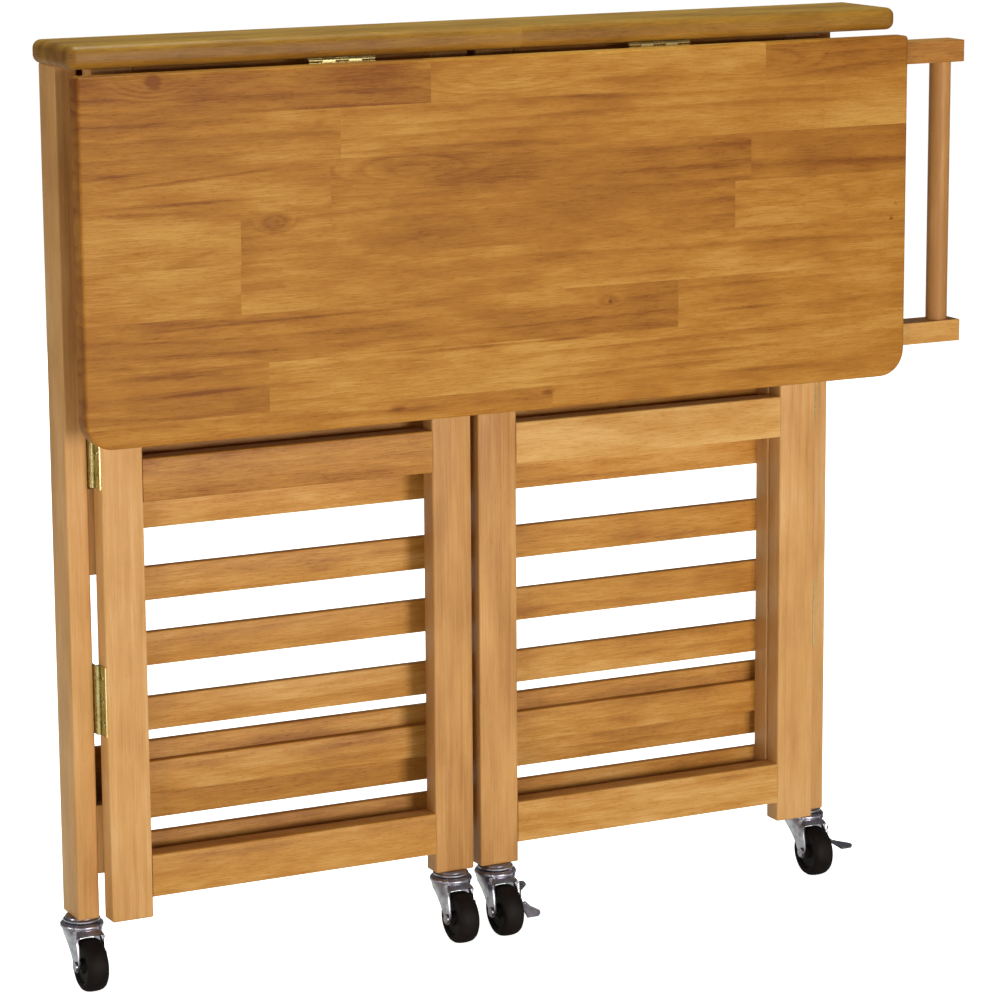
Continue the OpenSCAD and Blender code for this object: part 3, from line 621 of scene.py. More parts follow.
@dataclass
class Piece:
    """A new piece of the cart while it is being built.

    Attributes:
        name: The piece's name.
        nodes: The CAD nodes that it stands for. It rides on their body.
        slot: The record's material slot that its finish belongs to. It is not used.
        mesh: Its mesh, in the cart's frame.
    """

    name: str
    nodes: tuple[str, ...]
    slot: str
    mesh: BMesh = field(default_factory=bmesh.new)

    def __post_init__(self) -> None:
        """Makes room on the faces for each board's number and tone."""
        for name in ("board", "tone"):
            self.mesh.faces.layers.float.new(name)

    def mark(self, faces: Iterable[BMFace], seed: str, spread: float = 0.1, tone: float = 0.0) -> None:
        """Gives a board its own place in the log and its own tone.

        Args:
            faces: The board's faces.
            seed: A name for the board, from which both come.
            spread: How much the tone may differ from board to board.
            tone: How much darker than the finish the board is.
        """
        chance = random.Random(seed)
        board, shade = chance.random(), tone + chance.uniform(-spread, spread)
        layers = self.mesh.faces.layers.float
        for face in faces:
            face[layers["board"]] = board
            face[layers["tone"]] = shade

    def board(self, box: Solid, grain: Grain, ease: float, free_ends: bool, tone: float = 0.0) -> None:
        """Adds a planed board with eased edges.

        Args:
            box: The board's outer box.
            grain: The way its fibres run.
            ease: Radius of its edges, in millimetres.
            free_ends: Whether its ends stand free and are eased too.
            tone: How much darker than the finish it is.
        """
        before = set(self.mesh.faces)
        verts = bmesh.ops.create_cube(self.mesh, size=1.0)["verts"]
        bmesh.ops.scale(self.mesh, vec=box.size, verts=verts)
        bmesh.ops.translate(self.mesh, vec=box.middle, verts=verts)
        edges = {e for v in verts for e in v.link_edges}
        if not free_ends:
            ways = {e: (e.verts[0].co - e.verts[1].co).normalized() for e in edges}
            edges = {e for e, way in ways.items() if abs(way[grain.along]) > 0.9}
        ease_edges(self.mesh, list(edges), ease)
        seed = f"{self.name} {[round(c, 3) for c in box.low]}"
        self.mark([f for f in self.mesh.faces if f not in before], seed, tone=tone)

    def finish(self, *finishes: Finish, smooth: float = 32.0) -> Object:
        """Makes the piece an object of the scene that moves with its body.

        Args:
            *finishes: Its finishes, in the order of its faces' material numbers.
            smooth: The angle in degrees past which an edge stays crisp.

        Returns:
            The object.
        """
        data = bpy.data.meshes.new(self.name)
        self.mesh.to_mesh(data)
        self.mesh.free()
        data.shade_smooth()
        data.set_sharp_from_angle(angle=math.radians(smooth))
        for finish in finishes:
            data.materials.append(material_of(finish))
        made = add_object(self.name, data)
        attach(made, bpy.data.objects[self.nodes[0]]["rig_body"])
        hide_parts(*self.nodes)
        LOG.info("%s: %d faces, stands for %s", self.name, len(data.polygons), ", ".join(self.nodes))
        return made


def dress(finish: Finish, *nodes: str) -> None:
    """Gives CAD nodes, whose shape is right, a finish in their material slots.

    Args:
        finish: The finish.
        *nodes: The CAD nodes.
    """
    for node in nodes:
        part = bpy.data.objects[node]
        for slot in part.material_slots:
            slot.link = "OBJECT"
            slot.material = material_of(finish)
        LOG.info("%s: keeps its CAD shape", node)


def eased_copy(piece: Piece, ease: float, tone: float = 0.0) -> None:
    """Fills a piece with its CAD nodes' shapes, with their outer straight edges eased.

    Args:
        piece: The piece, still empty.
        ease: Radius of the edges, in millimetres.
        tone: How much darker than the finish it is.
    """
    for node in piece.nodes:
        piece.mesh.from_mesh(bpy.data.objects[node].data)
    mesh = piece.mesh
    bmesh.ops.remove_doubles(mesh, verts=mesh.verts, dist=JOIN)
    bmesh.ops.dissolve_limit(mesh, angle_limit=math.radians(1), verts=mesh.verts, edges=mesh.edges)
    outer = []
    for verts in islands(mesh):
        box = box_of(verts)

        def on_edge(vert: BMVert, box: Solid = box) -> frozenset[int]:
            """The axes along which a vertex lies on the box's skin."""
            gaps = [min(abs(vert.co[i] - box.low[i]), abs(vert.co[i] - box.high[i])) for i in range(3)]
            return frozenset(i for i in range(3) if gaps[i] < TOUCH)

        for edge in {e for v in verts for e in v.link_edges}:
            shared = on_edge(edge.verts[0]) & on_edge(edge.verts[1])
            if len(shared) == 2 and edge.calc_length() > 3 * ease * MM:
                outer.append(edge)
        piece.mark({f for v in verts for f in v.link_faces}, f"{piece.name} {box.low[0]:.3f}", tone=tone)
    ease_edges(mesh, outer, ease)


def facing(at: Vector, way: Vector) -> Matrix:
    """The turn and move that take the origin to a place and Z to a way."""
    return Matrix.Translation(at) @ way.to_track_quat("Z", "Y").to_matrix().to_4x4()


def settle(mesh: BMesh, before: set[BMFace], place: Matrix) -> list[BMFace]:
    """Turns new faces outward and moves them to their place.

    Args:
        mesh: The mesh.
        before: The faces that it had before the new ones.
        place: Where the new ones go.

    Returns:
        The new faces.
    """
    faces = [f for f in mesh.faces if f not in before]
    bmesh.ops.recalc_face_normals(mesh, faces=faces)
    bmesh.ops.transform(mesh, matrix=place, verts=list({v for f in faces for v in f.verts}))
    return faces


def spin_profile(mesh: BMesh, profile: list[Pair], place: Matrix, steps: int = 64) -> list[BMFace]:
    """Turns a profile round an axis, as on a lathe.

    Args:
        mesh: The mesh to add to.
        profile: Radius and height of each corner, in millimetres, from one end on the axis to the other.
        place: Where the axis goes: its Z is the axis.
        steps: Faces round a full turn.

    Returns:
        The new faces.
    """
    before = set(mesh.faces)
    verts = [mesh.verts.new((r * MM, 0, z * MM)) for r, z in profile]
    edges = [mesh.edges.new(pair) for pair in zip(verts, verts[1:])]
    bmesh.ops.spin(
        mesh, geom=verts + edges, cent=(0, 0, 0), axis=(0, 0, 1), angle=math.tau, steps=steps, use_merge=True
    )
    turned = list({v for f in mesh.faces if f not in before for v in f.verts})
    bmesh.ops.remove_doubles(mesh, verts=turned, dist=0.001 * MM)
    return settle(mesh, before, place)


# Sub-assemblies


@dataclass
class GluedPanel:
    """A board glued up from staves, as the top board and the drop leaf are.

    Attributes:
        node: The CAD node whose shape it takes.
        slot: Its material slot in the record.
        finish: Its wood.
        rows: The axis that the rows of staves are counted along, from its high end.
        seams: Where along it one row ends and the next begins, in millimetres.
        joints: For each row, where along X one stave ends and the next begins, in millimetres.
        tones: For each row, the tones of its staves.
    """

    node: str
    slot: str
    finish: OiledBeech
    rows: int
    seams: tuple[float, ...]
    joints: tuple[tuple[float, ...], ...]
    tones: tuple[tuple[float, ...], ...]

    def build(self) -> None:
        """Cuts the CAD shape along its seams, so that each stave has its own grain."""
        piece = Piece(f"{self.node}_staves", (self.node,), self.slot, merged(self.node))
        mesh = piece.mesh
        across = Vector((0, 0, 0))
        across[self.rows] = 1
        for seam in self.seams:
            self.cut(mesh, mesh.faces[:], across * seam * MM, across)
        for i, ends in enumerate(self.joints):
            for x in ends:
                self.cut(mesh, [f for f in mesh.faces if self.row(f) == i], Vector((x * MM, 0, 0)), X_AXIS)
        for i, ends in enumerate(self.joints):
            stops = [-math.inf, *(x * MM for x in ends), math.inf]
            faces = [f for f in mesh.faces if self.row(f) == i]
            for j, (low, high) in enumerate(zip(stops, stops[1:])):
                stave = [f for f in faces if low <= f.calc_center_median()[0] < high]
                piece.mark(stave, f"{self.node} {i} {j}", spread=0.0, tone=self.tones[i][j])
        piece.finish(self.finish)

    def cut(self, mesh: BMesh, faces: list[BMFace], place: Vector, way: Vector) -> None:
        """Cuts faces along the plane through a place, across a way."""
        parts = list({v for f in faces for v in f.verts}) + list({e for f in faces for e in f.edges}) + faces
        bmesh.ops.bisect_plane(mesh, geom=parts, plane_co=place, plane_no=way, dist=1e-7)

    def row(self, face: BMFace) -> int:
        """The row of staves that a face lies in, counted from the high end."""
        return sum(face.calc_center_median()[self.rows] < seam * MM for seam in self.seams)


PANELS = (
    GluedPanel(
        "top_board",
        "oiled_beech_top",
        TOP_WOOD,
        1,
        seams=(11.0,),
        joints=((-150.0, 210.0), (-20.0,)),
        tones=((0.0, -0.04, -0.02), (0.06, 0.02)),
    ),
    GluedPanel(
        "drop_leaf",
        "oiled_beech_leaf",
        LEAF_WOOD,
        2,
        seams=(847.5, 800.0, 753.5, 707.0, 660.0, 613.0, 566.0),
        joints=(
            *((-128.0, 238.0), (-222.0, 306.0), (-233.0, 222.0), (-325.0, 204.0)),
            *((-326.0,), (140.0,), (-299.0,), (0.0,)),
        ),
        # the left staves, most of all those of the top two rows, are darker partly as painted shade, which
        # offsets the key lamp's sheen on the leaf's left end
        tones=(
            *((0.24, -0.08, 0.14), (0.06, -0.04, -0.13), (0.0, 0.16, 0.11), (-0.08, 0.1, 0.0)),
            *((-0.08, -0.04), (0.07, 0.0), (0.13, -0.08), (0.04, 0.0)),
        ),
    ),
)

# how much darker than their finish some pieces are
TONES = {
    "left_gate_free_stile": 0.2,
    "right_gate_free_stile": 0.18,
    "right_gate_hinge_stile": 0.06,
    "left_gate_middle_rail": 0.26,
    "right_gate_middle_rail": -0.3,
    "left_gate_bottom_rail": -0.06,
    "right_gate_bottom_rail": -0.16,
    "lower_back_rail": 0.1,
    "upper_towel_arm": 0.34,
    "lower_towel_arm": -0.2,
    "towel_dowel": 0.4,
}


@dataclass(frozen=True)
class Timber:
    """Wooden pieces of one kind, such as the posts or the shelves' battens.

    Attributes:
        nodes: Their CAD nodes.
        ending: What the pieces' names add to the nodes'.
        finish: Their wood. Its grain gives the way that a plain board runs.
        ease: Radius of their edges, in millimetres.
        bored: Whether they have screw holes or sockets, and so keep the CAD shape under their eased edges.
        free_ends: Whether their ends stand free, and don't butt against another piece.
        slot: Their material slot in the record.
    """

    nodes: tuple[str, ...]
    ending: str
    finish: OiledBeech
    ease: float
    bored: bool = False
    free_ends: bool = True
    slot: str = "beech_rail"

    def build(self) -> None:
        """Builds each piece, a plain one as boards from the boxes of its node's solids."""
        for node in self.nodes:
            piece, tone = Piece(node + self.ending, (node,), self.slot), TONES.get(node, 0.0)
            if self.bored:
                eased_copy(piece, self.ease, tone)
            else:
                for box in solids_of(node):
                    piece.board(box, self.finish.grain, self.ease, self.free_ends, tone)
            piece.finish(self.finish)


@dataclass
class Dowel:
    """The towel rail's dowel.

    Attributes:
        node: Its CAD node.
        chamfer: Width of its ends' chamfers, in millimetres.
    """

    node: str = "towel_dowel"
    chamfer: float = 1.0

    def build(self) -> None:
        """Turns the dowel."""
        piece = Piece(f"{self.node}_turned", (self.node,), "beech_rail")
        low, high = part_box(self.node)
        size, c = (high - low) / MM, self.chamfer
        r, h = size[0] / 2, size[2]
        place = Matrix.Translation(((low[0] + high[0]) / 2, (low[1] + high[1]) / 2, low[2]))
        profile = [(0, 0), (r - c, 0), (r, c), (r, h - c), (r - c, h), (0, h)]
        piece.mark(spin_profile(piece.mesh, profile, place), "towel dowel", tone=TONES[self.node])
        piece.finish(UPRIGHT_WOOD)


GATES, SHELVES = ("left_gate_", "right_gate_"), ("lower_shelf_", "upper_shelf_")
STILES = ("left_post", "right_post", *(f"{gate}{end}_stile" for gate in GATES for end in ("hinge", "free")))
RAILS = tuple(f"{gate}{row}_rail" for gate in GATES for row in ("top", "middle", "bottom"))
BACK_RAILS = ("top_back_rail", "upper_back_rail", "lower_back_rail")
ARMS = ("upper_towel_arm", "lower_towel_arm")
TIMBER = (
    Timber(STILES, "_board", UPRIGHT_WOOD, 1.8, slot="beech_upright"),
    Timber(RAILS + BACK_RAILS, "_board", RAIL_WOOD, 1.6, free_ends=False),
    Timber(tuple(f"{shelf}slats" for shelf in SHELVES), "_boards", RAIL_WOOD, 1.4),
    Timber(tuple(f"{gate}ledges" for gate in GATES), "_eased", RAIL_WOOD, 1.2, bored=True),
    Timber(tuple(f"{shelf}battens" for shelf in SHELVES), "_eased", UPRIGHT_WOOD, 1.2, bored=True),
    Timber(("shelf_pivot_blocks",), "_eased", UPRIGHT_WOOD, 1.2),
    Timber(ARMS, "_eased", RAIL_WOOD, 1.6, bored=True),
    Dowel(),
)


@dataclass
class Screws:
    """Crosshead screws with pan heads, at the CAD screws' places.

    Attributes:
        dome: How much of the head's height is its crown, in millimetres.
        head: The head's whole height.
        rim: How far the flat round the recess reaches past its arms.
        slot_w: Width of the cross recess.
        slot_l: Length of each of its arms from the middle.
        slot_d: Its depth.
        around: Faces round the head and shank.
    """

    dome: float = 0.5
    head: float = 0.9
    rim: float = 0.25
    slot_w: float = 0.5
    slot_l: float = 1.6
    slot_d: float = 0.7
    around: int = 24

    def build(self) -> None:
        """Builds every screw of the four sets."""
        for node in ("frame_screws", "leaf_screws", "left_gate_screws", "right_gate_screws"):
            piece = Piece(f"{node}_crosshead", (node,), "steel_fitting")
            mesh = merged(node)
            for verts in islands(mesh):
                self.screw(piece, verts)
            mesh.free()
            piece.finish(BRASS)

    def screw(self, piece: Piece, verts: list[BMVert]) -> None:
        """Builds one screw.

        Args:
            piece: The piece to add it to.
            verts: The vertices of the CAD screw that it stands for.
        """
        box = box_of(verts)
        axis = max(range(3), key=lambda i: box.size[i])
        other = (axis + 1) % 3

        def reach(end: float) -> float:
            """Radius of the screw at one end."""
            rim = [v.co[other] for v in verts if abs(v.co[axis] - end) < TOUCH]
            return max(abs(c - box.middle[other]) for c in rim)

        low_r, high_r = reach(box.low[axis]), reach(box.high[axis])
        head_r, shank_r = max(low_r, high_r) / MM, min(low_r, high_r) / MM
        length = box.size[axis] / MM
        way = Vector((0, 0, 0))
        way[axis] = 1 if high_r > low_r else -1
        place = facing(box.middle - way * length / 2 * MM, way)
        seat, flat = length - self.head, self.slot_l + self.rim
        profile = [(0, 0), (shank_r, 2), (shank_r, seat), (head_r, seat), (head_r, length - self.dome)]
        profile += [(head_r * 0.8, length - 0.1), (flat, length)]
        spin_profile(piece.mesh, profile, place, self.around)
        crown = place @ Matrix.Translation((0, 0, length * MM))
        rim = bmesh.ops.create_circle(
            piece.mesh, cap_ends=False, segments=self.around, radius=flat * MM, matrix=crown
        )["verts"]
        half, arm, top = self.slot_w / 2 * MM, self.slot_l * MM, length * MM
        turns = [Matrix.Rotation(turn * math.pi / 2, 4, "Z") for turn in range(4)]
        corner = [Vector(c) for c in ((arm, half, top), (half, half, top), (half, arm, top))]
        cross = outline(piece.mesh, [place @ turn @ c for turn in turns for c in corner], filled=True)
        face = next(f for f in cross[0].link_faces if len(f.verts) == len(cross))
        edges = list(face.edges) + list({e for v in rim for e in v.link_edges})
        bmesh.ops.bridge_loops(piece.mesh, edges=edges)
        sunk = bmesh.ops.extrude_discrete_faces(piece.mesh, faces=[face])["faces"][0]
        bmesh.ops.translate(piece.mesh, vec=-way * self.slot_d * MM, verts=sunk.verts)


@dataclass(frozen=True)
class Wing:
    """The shape of a brake lever's wing, in millimetres.

    Attributes:
        reach: How far it reaches from the lever's pin.
        out: How far it stands out sideways.
        tip: Radius of its outer tip.
        flare: How far its inner side slants outwards.
        turn: How far it is turned about the pin, in degrees.
    """

    reach: float
    out: float
    tip: float
    flare: float
    turn: float


# the long wing for the foot, and the short ear beyond the pin
WINGS = (Wing(24.0, 22.0, 4.0, 7.0, 180.0), Wing(15.0, 9.0, 4.5, 1.0, 25.0))


@dataclass
class Caster:
    """One swivel caster: cup and stem, pressed fork, axle, wheel and, on two of them, a flip brake lever.

    Attributes:
        name: The caster's name in the CAD nodes.
        dip: How far its brake lever's long wing stands below level, in degrees, or None without a brake.
        steel: Finish of the brake lever.
        leg_out: From the caster's middle to a leg's outer face, in millimetres.
        sheet: Thickness of the fork's steel.
        trail: How far the axle trails the swivel axis.
        wheel_r: Radius of the wheel.
        wheel_w: Width of the wheel.
        height: Height of the whole caster under the wood.
        cup_h: Height of the raceway cup.
        rows: Rows of faces down the fork's legs.
        lever_pin: How far behind the axle and above the wheel's middle the lever's pin lies.
        lever_gap: Gap between a leg and the lever.
    """

    name: str
    dip: float | None = None
    steel: PlatedSteel = SHADED_LEVER_ZINC
    leg_out: float = 15.0
    sheet: float = 2.0
    trail: float = 21.5
    wheel_r: float = 26.0
    wheel_w: float = 22.0
    height: float = 71.0
    cup_h: float = 6.0
    rows: int = 7
    lever_pin: Pair = (6.0, 11.0)
    lever_gap: float = 2.1

    def place(self) -> Matrix:
        """The swivel axis where it meets the floor."""
        low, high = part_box(f"{self.name}_caster_mount")
        return Matrix.Translation(((low[0] + high[0]) / 2, (low[1] + high[1]) / 2, 0))

    def build(self) -> None:
        """Builds the caster's pieces."""
        self.mount()
        self.fork()
        self.wheel()
        dress(ZINC, f"{self.name}_caster_axle")
        if self.dip is not None:
            self.lever()

    def mount(self) -> None:
        """Builds the cup with its rolled rim, the stem and the riveted swivel pin."""
        piece = Piece(f"{self.name}_caster_cup", (f"{self.name}_caster_mount",), "caster_zinc")
        low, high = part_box(f"{self.name}_caster_mount")
        base, top, foot, head = self.height - self.cup_h, self.height, low[2] / MM, high[2] / MM
        pin = [(0, foot), (6.5, foot), (8, foot + 0.8), (8, foot + 1.7), (5, foot + 1.7), (5, base)]
        rim = [(15.6, base), (17.1, base + 0.4), (18, base + 1.5), (18, base + 2.6), (17.1, base + 3.5)]
        cup = [(16.2, base + 4.2), (15.8, top - 0.6), (15.2, top)]
        stem = [(4, top), (4, head - 1), (3, head), (0, head)]
        spin_profile(piece.mesh, pin + rim + cup + stem, self.place())
        piece.finish(ZINC)

    def skirt_foot(self) -> list[Vector]:
        """The fork's lower edge, all round.

        Returns:
            Its corners in millimetres from the swivel axis at floor height, from the right leg's back,
            down round its tip, over the front lip and the left leg, to the back lip.
        """
        x, axle, low = self.leg_out, -self.trail, self.wheel_r
        hind = [(11.5, 50.5), (6.0, 47.0), (0.5, 43.0), (-4.5, 38.5), (-9.0, 33.5), (-12.8, 28.5)]
        tip = [(-15.8, low - 1.5), (-17.6, low - 4.6), (axle, low - 6.3), (-25.2, low - 4.8)]
        front = [(-27.2, low - 1.0), (-27.6, low + 4.0), (-27.0, 36.0), (-26.0, 42.0), (-24.8, 48.0)]
        leg = [(x - 0.8, 15.5, 53.5), *((x, y, z) for y, z in hind + tip + front)]
        leg += [(x - 0.3, -23.9, 52.5), (x - 1.8, -23.4, 54.6)]
        right = [Vector(p) for p in leg]
        lip = [Vector((u * (x - 4), -23.4, 55.2)) for u in (1, 0.5, 0, -0.5, -1)]
        left = [Vector((-p[0], p[1], p[2])) for p in reversed(right)]
        back = [Vector((u * (x - 4), 18.0, 54.6)) for u in (-1, -0.5, 0, 0.5, 1)]
        return right + lip + left + back

    def fork(self) -> None:
        """Builds the pressed fork: a round crown, drawn down into two flat legs over a lipped edge."""
        piece = Piece(f"{self.name}_caster_fork_pressed", (f"{self.name}_caster_fork",), "caster_zinc")
        mesh, place, foot = piece.mesh, self.place(), self.skirt_foot()
        # seen from the skirt's middle, 2 mm in front of the swivel axis
        angles = [math.atan2(p.y + 2.0, p.x) for p in foot]
        # the crown turns just under the cup
        top = self.height - self.cup_h - 0.3
        # radius of the crown's rings and their depth under its top, from the swivel pin to the skirt's start
        crown = [(5.05, 1.2), (7, 0.9), (9.5, 0), (17.8, 0)]
        crown += [(20.2, 0.7), (21.4, 2.3), (21.3, 4.2), (20.3, 5.4)]
        rings = [[Vector((r * math.cos(a), r * math.sin(a), top - d)) for a in angles] for r, d in crown]
        start = rings[-1]
        for k in range(1, self.rows + 1):
            share = k / self.rows
            # the skirt first swells sideways and then drops straight
            shares = Vector((1 - (1 - share) ** 2.2, share**0.8, share))
            rings.append([a + (b - a) * shares for a, b in zip(start, foot)])
        loops = [outline(mesh, [place @ (at * MM) for at in ring]) for ring in rings]
        for upper, lower in zip(loops, loops[1:]):
            edges = list({e for v in upper + lower for e in v.link_edges if e.is_boundary or e.is_wire})
            edges = [e for e in edges if set(e.verts) <= set(upper) or set(e.verts) <= set(lower)]
            bmesh.ops.bridge_loops(mesh, edges=edges)
        bmesh.ops.recalc_face_normals(mesh, faces=mesh.faces)
        made = piece.finish(ZINC, smooth=60)
        shell = made.modifiers.new("sheet steel", "SOLIDIFY")
        shell.thickness, shell.offset = self.sheet * MM, -1.0
        rounding = made.modifiers.new("rolled edge", "BEVEL")
        rounding.width, rounding.segments = 0.5 * MM, 2
        rounding.limit_method, rounding.angle_limit = "ANGLE", math.radians(50)

    def wheel(self) -> None:
        """Builds the wheel: a crowned rubber tyre round a nylon hub with a stepped disc."""
        node = f"{self.name}_caster_wheel"
        piece = Piece(f"{node}_moulded", (node,), "wheel_rubber")
        low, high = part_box(node)
        middle, half, r = (low + high) / 2, self.wheel_w / 2, self.wheel_r
        place = Matrix.Translation(middle) @ Matrix.Rotation(math.pi / 2, 4, "Y")
        # radius and depth behind the wheel's side, from the hub's edge out, and from the axle to the tyre
        tyre = [(r - 8.0, 1.2), (r - 7.4, 0.4), (r - 6.0, 0), (r - 4.0, 0.5)]
        tyre += [(r - 2.2, 1.6), (r - 0.9, 3.6), (r - 0.25, 6.2), (r, 9.4)]
        hub = [(3.05, 0.2), (6.2, 0), (7.0, 0.5), (7.6, 3.0), (10, 3.4)]
        hub += [(r - 9.6, 3.0), (r - 8.6, 1.2), (r - 8.0, 1.2)]
        for number, side in enumerate((tyre, hub)):
            both = [(a, b - half) for a, b in side] + [(a, half - b) for a, b in reversed(side)]
            for face in spin_profile(piece.mesh, both, place):
                face.material_index = number
        piece.finish(TYRE, HUB)

    def lever(self) -> None:
        """Builds the flip lever: a hub on its pin and two ribbed wings."""
        node = f"{self.name}_brake_lever"
        piece = Piece(f"{node}_pressed", (node,), "caster_zinc")
        mesh = piece.mesh
        back, up = self.lever_pin
        pin = Matrix.Translation(Vector((0, back - self.trail, up + self.wheel_r)) * MM)
        turned = self.place() @ pin @ Matrix.Rotation(math.radians(self.dip or 0), 4, "X")
        x0 = self.leg_out + self.lever_gap
        hub = [(0, 12.5), (2, 12.5), (2, x0), (3.4, x0)]
        hub += [(4, x0 + 0.6), (4, x0 + 2.4), (3.4, x0 + 3), (0, x0 + 3)]
        spin_profile(mesh, hub, turned @ Matrix.Rotation(math.pi / 2, 4, "Y"), 32)
        for wing in WINGS:
            self.wing(mesh, turned @ Matrix.Rotation(math.radians(wing.turn), 4, "X"), x0, wing)
        piece.finish(self.steel, smooth=40)

    def wing(self, mesh: BMesh, place: Matrix, x0: float, shape: Wing) -> None:
        """Adds one wing of the lever, a fan-shaped plate with pressed ribs.

        Args:
            mesh: The lever's mesh.
            place: The lever's pin, turned so that the wing lies along +Y.
            x0: The lever's inner side, in millimetres from the caster's middle.
            shape: The wing's shape.
        """
        # radius of the inner tip, half the plate's thickness, and the steps that round each tip
        inner, half, steps = 1.5, 0.9, 6
        out, reach, tip, flare = shape.out, shape.reach, shape.tip, shape.flare
        corners = [(x0, 0.0), (x0 + 3, 0.0), (x0 + 3.4 + out * 0.06, reach * 0.34)]
        mid, far = Vector((x0 + out - tip, reach - tip)), Vector((x0 + inner + flare, reach - inner))
        start, level = math.atan2(mid.y, mid.x - x0 - 3) - math.pi / 2, math.pi / 2
        for hub, radius, low, high in ((mid, tip, start, level), (far, inner, level, math.pi)):
            for i in range(steps + 1):
                a = low + (high - low) * i / steps
                corners.append((hub.x + radius * math.cos(a), hub.y + radius * math.sin(a)))
        corners.append((x0 + flare * 0.2, reach * 0.4))
        before = set(mesh.faces)
        verts = outline(mesh, [Vector((x, y, -half)) * MM for x, y in corners], filled=True)
        face = next(f for f in verts[0].link_faces if len(f.verts) == len(corners))
        raised = bmesh.ops.extrude_face_region(mesh, geom=[face])["geom"]
        top = [v for v in raised if isinstance(v, BMVert)]
        bmesh.ops.translate(mesh, vec=(0, 0, 2 * half * MM), verts=top)
        # three ribs fan out: each is 0.62 as long as the way to the wing's rim, with its middle 0.66 along it
        root, thin, thick = Vector((x0 + 1.5, 0, half)), 0.7 * MM, 1.1 * MM
        for i in range(3):
            end = mid.lerp(far, i / 2.2)
            way = Vector((end.x - root.x, end.y, 0))
            long = way.length * 0.62 * MM
            rib = bmesh.ops.create_cone(
                mesh, cap_ends=True, segments=12, radius1=thin, radius2=thick, depth=long
            )["verts"]
            middle = root + way * 0.66
            bmesh.ops.transform(mesh, matrix=facing(middle * MM, way), verts=rib)
        settle(mesh, before, place)


@dataclass
class Fittings:
    """The hinges and the shelves' pivots, whose CAD shapes are right.

    Attributes:
        hinges: The CAD nodes of the hinges' plates and pins.
        pivots: The CAD node of the shelves' pivots.
    """

    hinges: tuple[str, ...] = (
        "leaf_hinge_fixed_plates",
        "leaf_hinge_moving_plates",
        "leaf_hinge_pins",
        "gate_hinge_fixed_plates",
        "gate_hinge_pins",
        "left_gate_hinge_plates",
        "right_gate_hinge_plates",
    )
    pivots: str = "shelf_pivots"

    def build(self) -> None:
        """Plates the hinges with brass and the pivots with zinc."""
        dress(BRASS, *self.hinges)
        dress(ZINC, self.pivots)


CASTERS = (
    Caster("left_post"),
    Caster("right_post", dip=20.0, steel=ZINC),
    Caster("left_gate"),
    # its brake lever takes the darker copy of the zinc, whose darkness is painted shade
    Caster("right_gate", dip=70.0),
)
# the colour of most lamps' light
WARM_LIGHT = "#fffaf1"


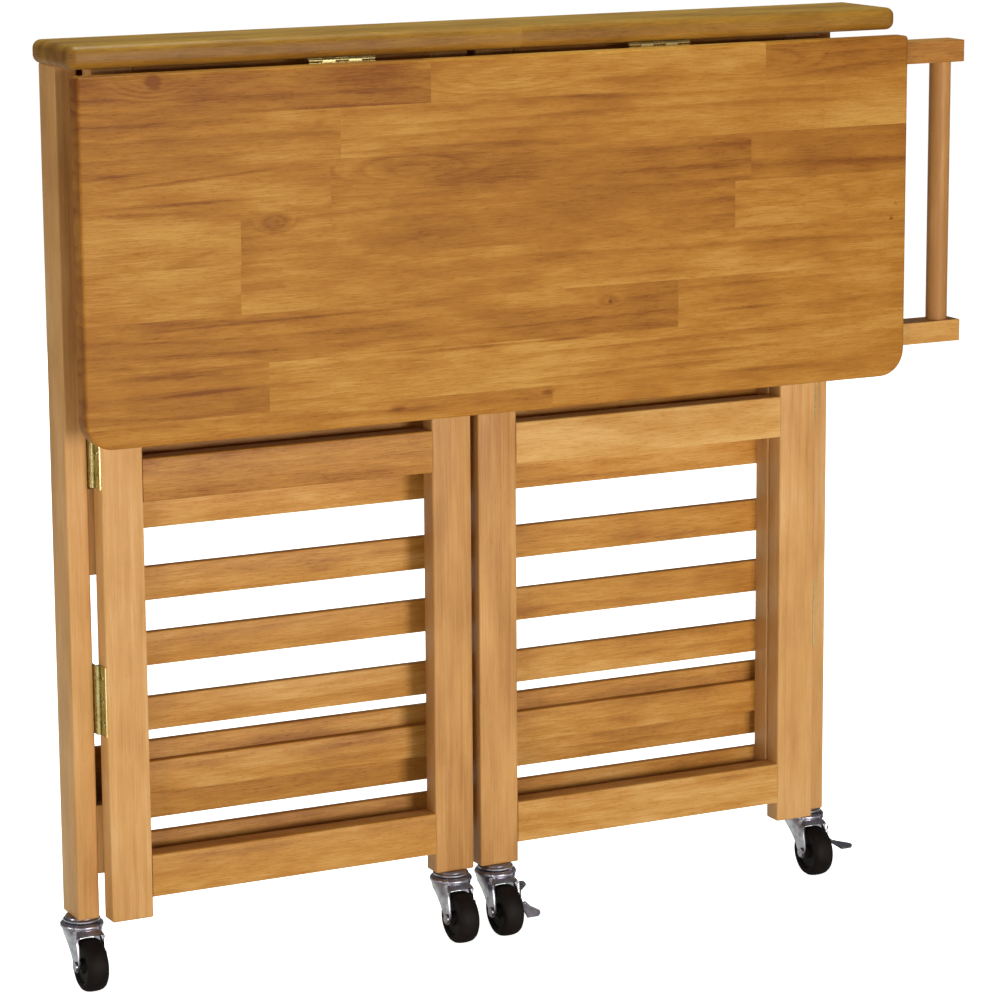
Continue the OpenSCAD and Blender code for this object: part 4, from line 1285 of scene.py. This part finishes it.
@dataclass
class Studio:
    """Camera, pale floor and soft light.

    Attributes:
        eye: The camera's place, in millimetres.
        yaw: How far it looks towards +X from +Y, in degrees.
        pitch: How far it looks down.
        roll: How far it is turned about its own line of sight.
        focal: Its focal length in widths of the picture.
    """

    eye: Place = (-1728.051, -3372.007, 1215.115)
    yaw: float = 26.767
    pitch: float = 11.537
    roll: float = -0.362
    focal: float = 3.898307

    def camera(self) -> None:
        """Sets the camera as the photograph's was fitted."""
        y, t, r = (math.radians(a) for a in (self.yaw, self.pitch, self.roll))
        ahead = Vector((math.sin(y) * math.cos(t), math.cos(y) * math.cos(t), -math.sin(t)))
        right = Vector((math.cos(y), -math.sin(y), 0))
        down = -right.cross(ahead)
        across = right * math.cos(r) - down * math.sin(r)
        below = right * math.sin(r) + down * math.cos(r)
        turn = Matrix((across, -below, -ahead)).transposed()
        data = bpy.data.cameras.new("camera")
        data.sensor_fit, data.sensor_width = "HORIZONTAL", 36.0
        data.lens = data.sensor_width * self.focal
        data.clip_start, data.clip_end = 0.1, 50.0
        camera = add_object("camera", data)
        camera.matrix_world = Matrix.Translation(Vector(self.eye) * MM) @ turn.to_4x4()
        bpy.context.scene.camera = camera

    def floor(self) -> None:
        """Lays a plain pale floor."""
        mesh = bmesh.new()
        bmesh.ops.create_grid(mesh, x_segments=1, y_segments=1, size=12.0)
        data = bpy.data.meshes.new("floor")
        mesh.to_mesh(data)
        mesh.free()
        material, tree = new_material("matt white studio floor")
        # the glow lifts the floor to white where it is seen, and lights nothing
        path = add_node(tree, "LightPath").outputs["Is Camera Ray"]
        glow = add_node(tree, "Math", {0: path, 1: 0.9}, operation="MULTIPLY").outputs[0]
        skin = {"Base Color": linear("#f4f3f1"), "Roughness": 0.9, "Specular IOR Level": 0.1}
        end_material(tree, skin | {"Emission Color": (1, 1, 1, 1), "Emission Strength": glow})
        data.materials.append(material)
        add_object("floor", data)

    def lights(self) -> None:
        """Lights the cart softly: a white room, a main lamp at the front right, and weaker ones all round."""
        scene = bpy.context.scene
        scene.view_settings.view_transform = "Standard"
        world = bpy.data.worlds.new("studio")
        world.use_nodes = True
        tree = world.node_tree
        tree.nodes.clear()
        seen = add_node(tree, "Background", {"Color": (1, 1, 1, 1), "Strength": 1.0})
        soft = add_node(tree, "Background", {"Color": (1, 1, 1, 1), "Strength": 0.14})
        path = add_node(tree, "LightPath").outputs["Is Camera Ray"]
        both = add_node(tree, "MixShader", {0: path, 1: soft.outputs[0], 2: seen.outputs[0]})
        add_node(tree, "OutputWorld", {"Surface": both.outputs[0]})
        scene.world = world
        self.lamp("key", (0.55, -3.6, 0.58), (-0.06, 0, 0.5), 0.9, 82.0)
        self.lamp("side", (-3.5, 0.0, 0.9), (-0.4, 0, 0.5), 0.4, 20.0)
        self.lamp("fill", (-2.7, -2.7, 0.58), (-0.1, 0, 0.5), 0.9, 24.0)
        self.lamp("overhead", (-0.04, 0.011, 3.4), (-0.04, 0.011, 0), 0.2, 79.0, "#eafff6")
        # seen by no glossy surface, since the rails' upper faces would mirror it
        self.lamp("back", (1.1, 3.5, 1.0), (0, 0, 0.5), 1.6, 40.0).visible_glossy = False

    def lamp(
        self, name: str, at: Place, to: Place, size: float, power: float, colour: str = WARM_LIGHT
    ) -> Object:
        """Hangs a square soft lamp.

        Args:
            name: The lamp's name.
            at: Its place, in metres.
            to: What it points at, in metres.
            size: Its side, in metres.
            power: Its power, in watts.
            colour: The colour of its light.

        Returns:
            The lamp.
        """
        data = bpy.data.lights.new(name, "AREA")
        data.shape, data.size, data.energy = "SQUARE", size, power
        data.color = linear(colour)[:3]
        lamp = add_object(name, data)
        lamp.location = at
        lamp.rotation_euler = (Vector(to) - Vector(at)).to_track_quat("-Z", "Y").to_euler()
        return lamp


def main() -> None:
    """Builds the cart's looks, sub-assembly by sub-assembly, and reports each piece."""
    logging.basicConfig(level=logging.INFO, format="%(name)s: %(message)s")
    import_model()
    studio = Studio()
    studio.camera()
    for part in (*PANELS, *TIMBER, Screws(), Fittings(), *CASTERS):
        part.build()
    studio.floor()
    studio.lights()


if __name__ == "__main__":
    main()
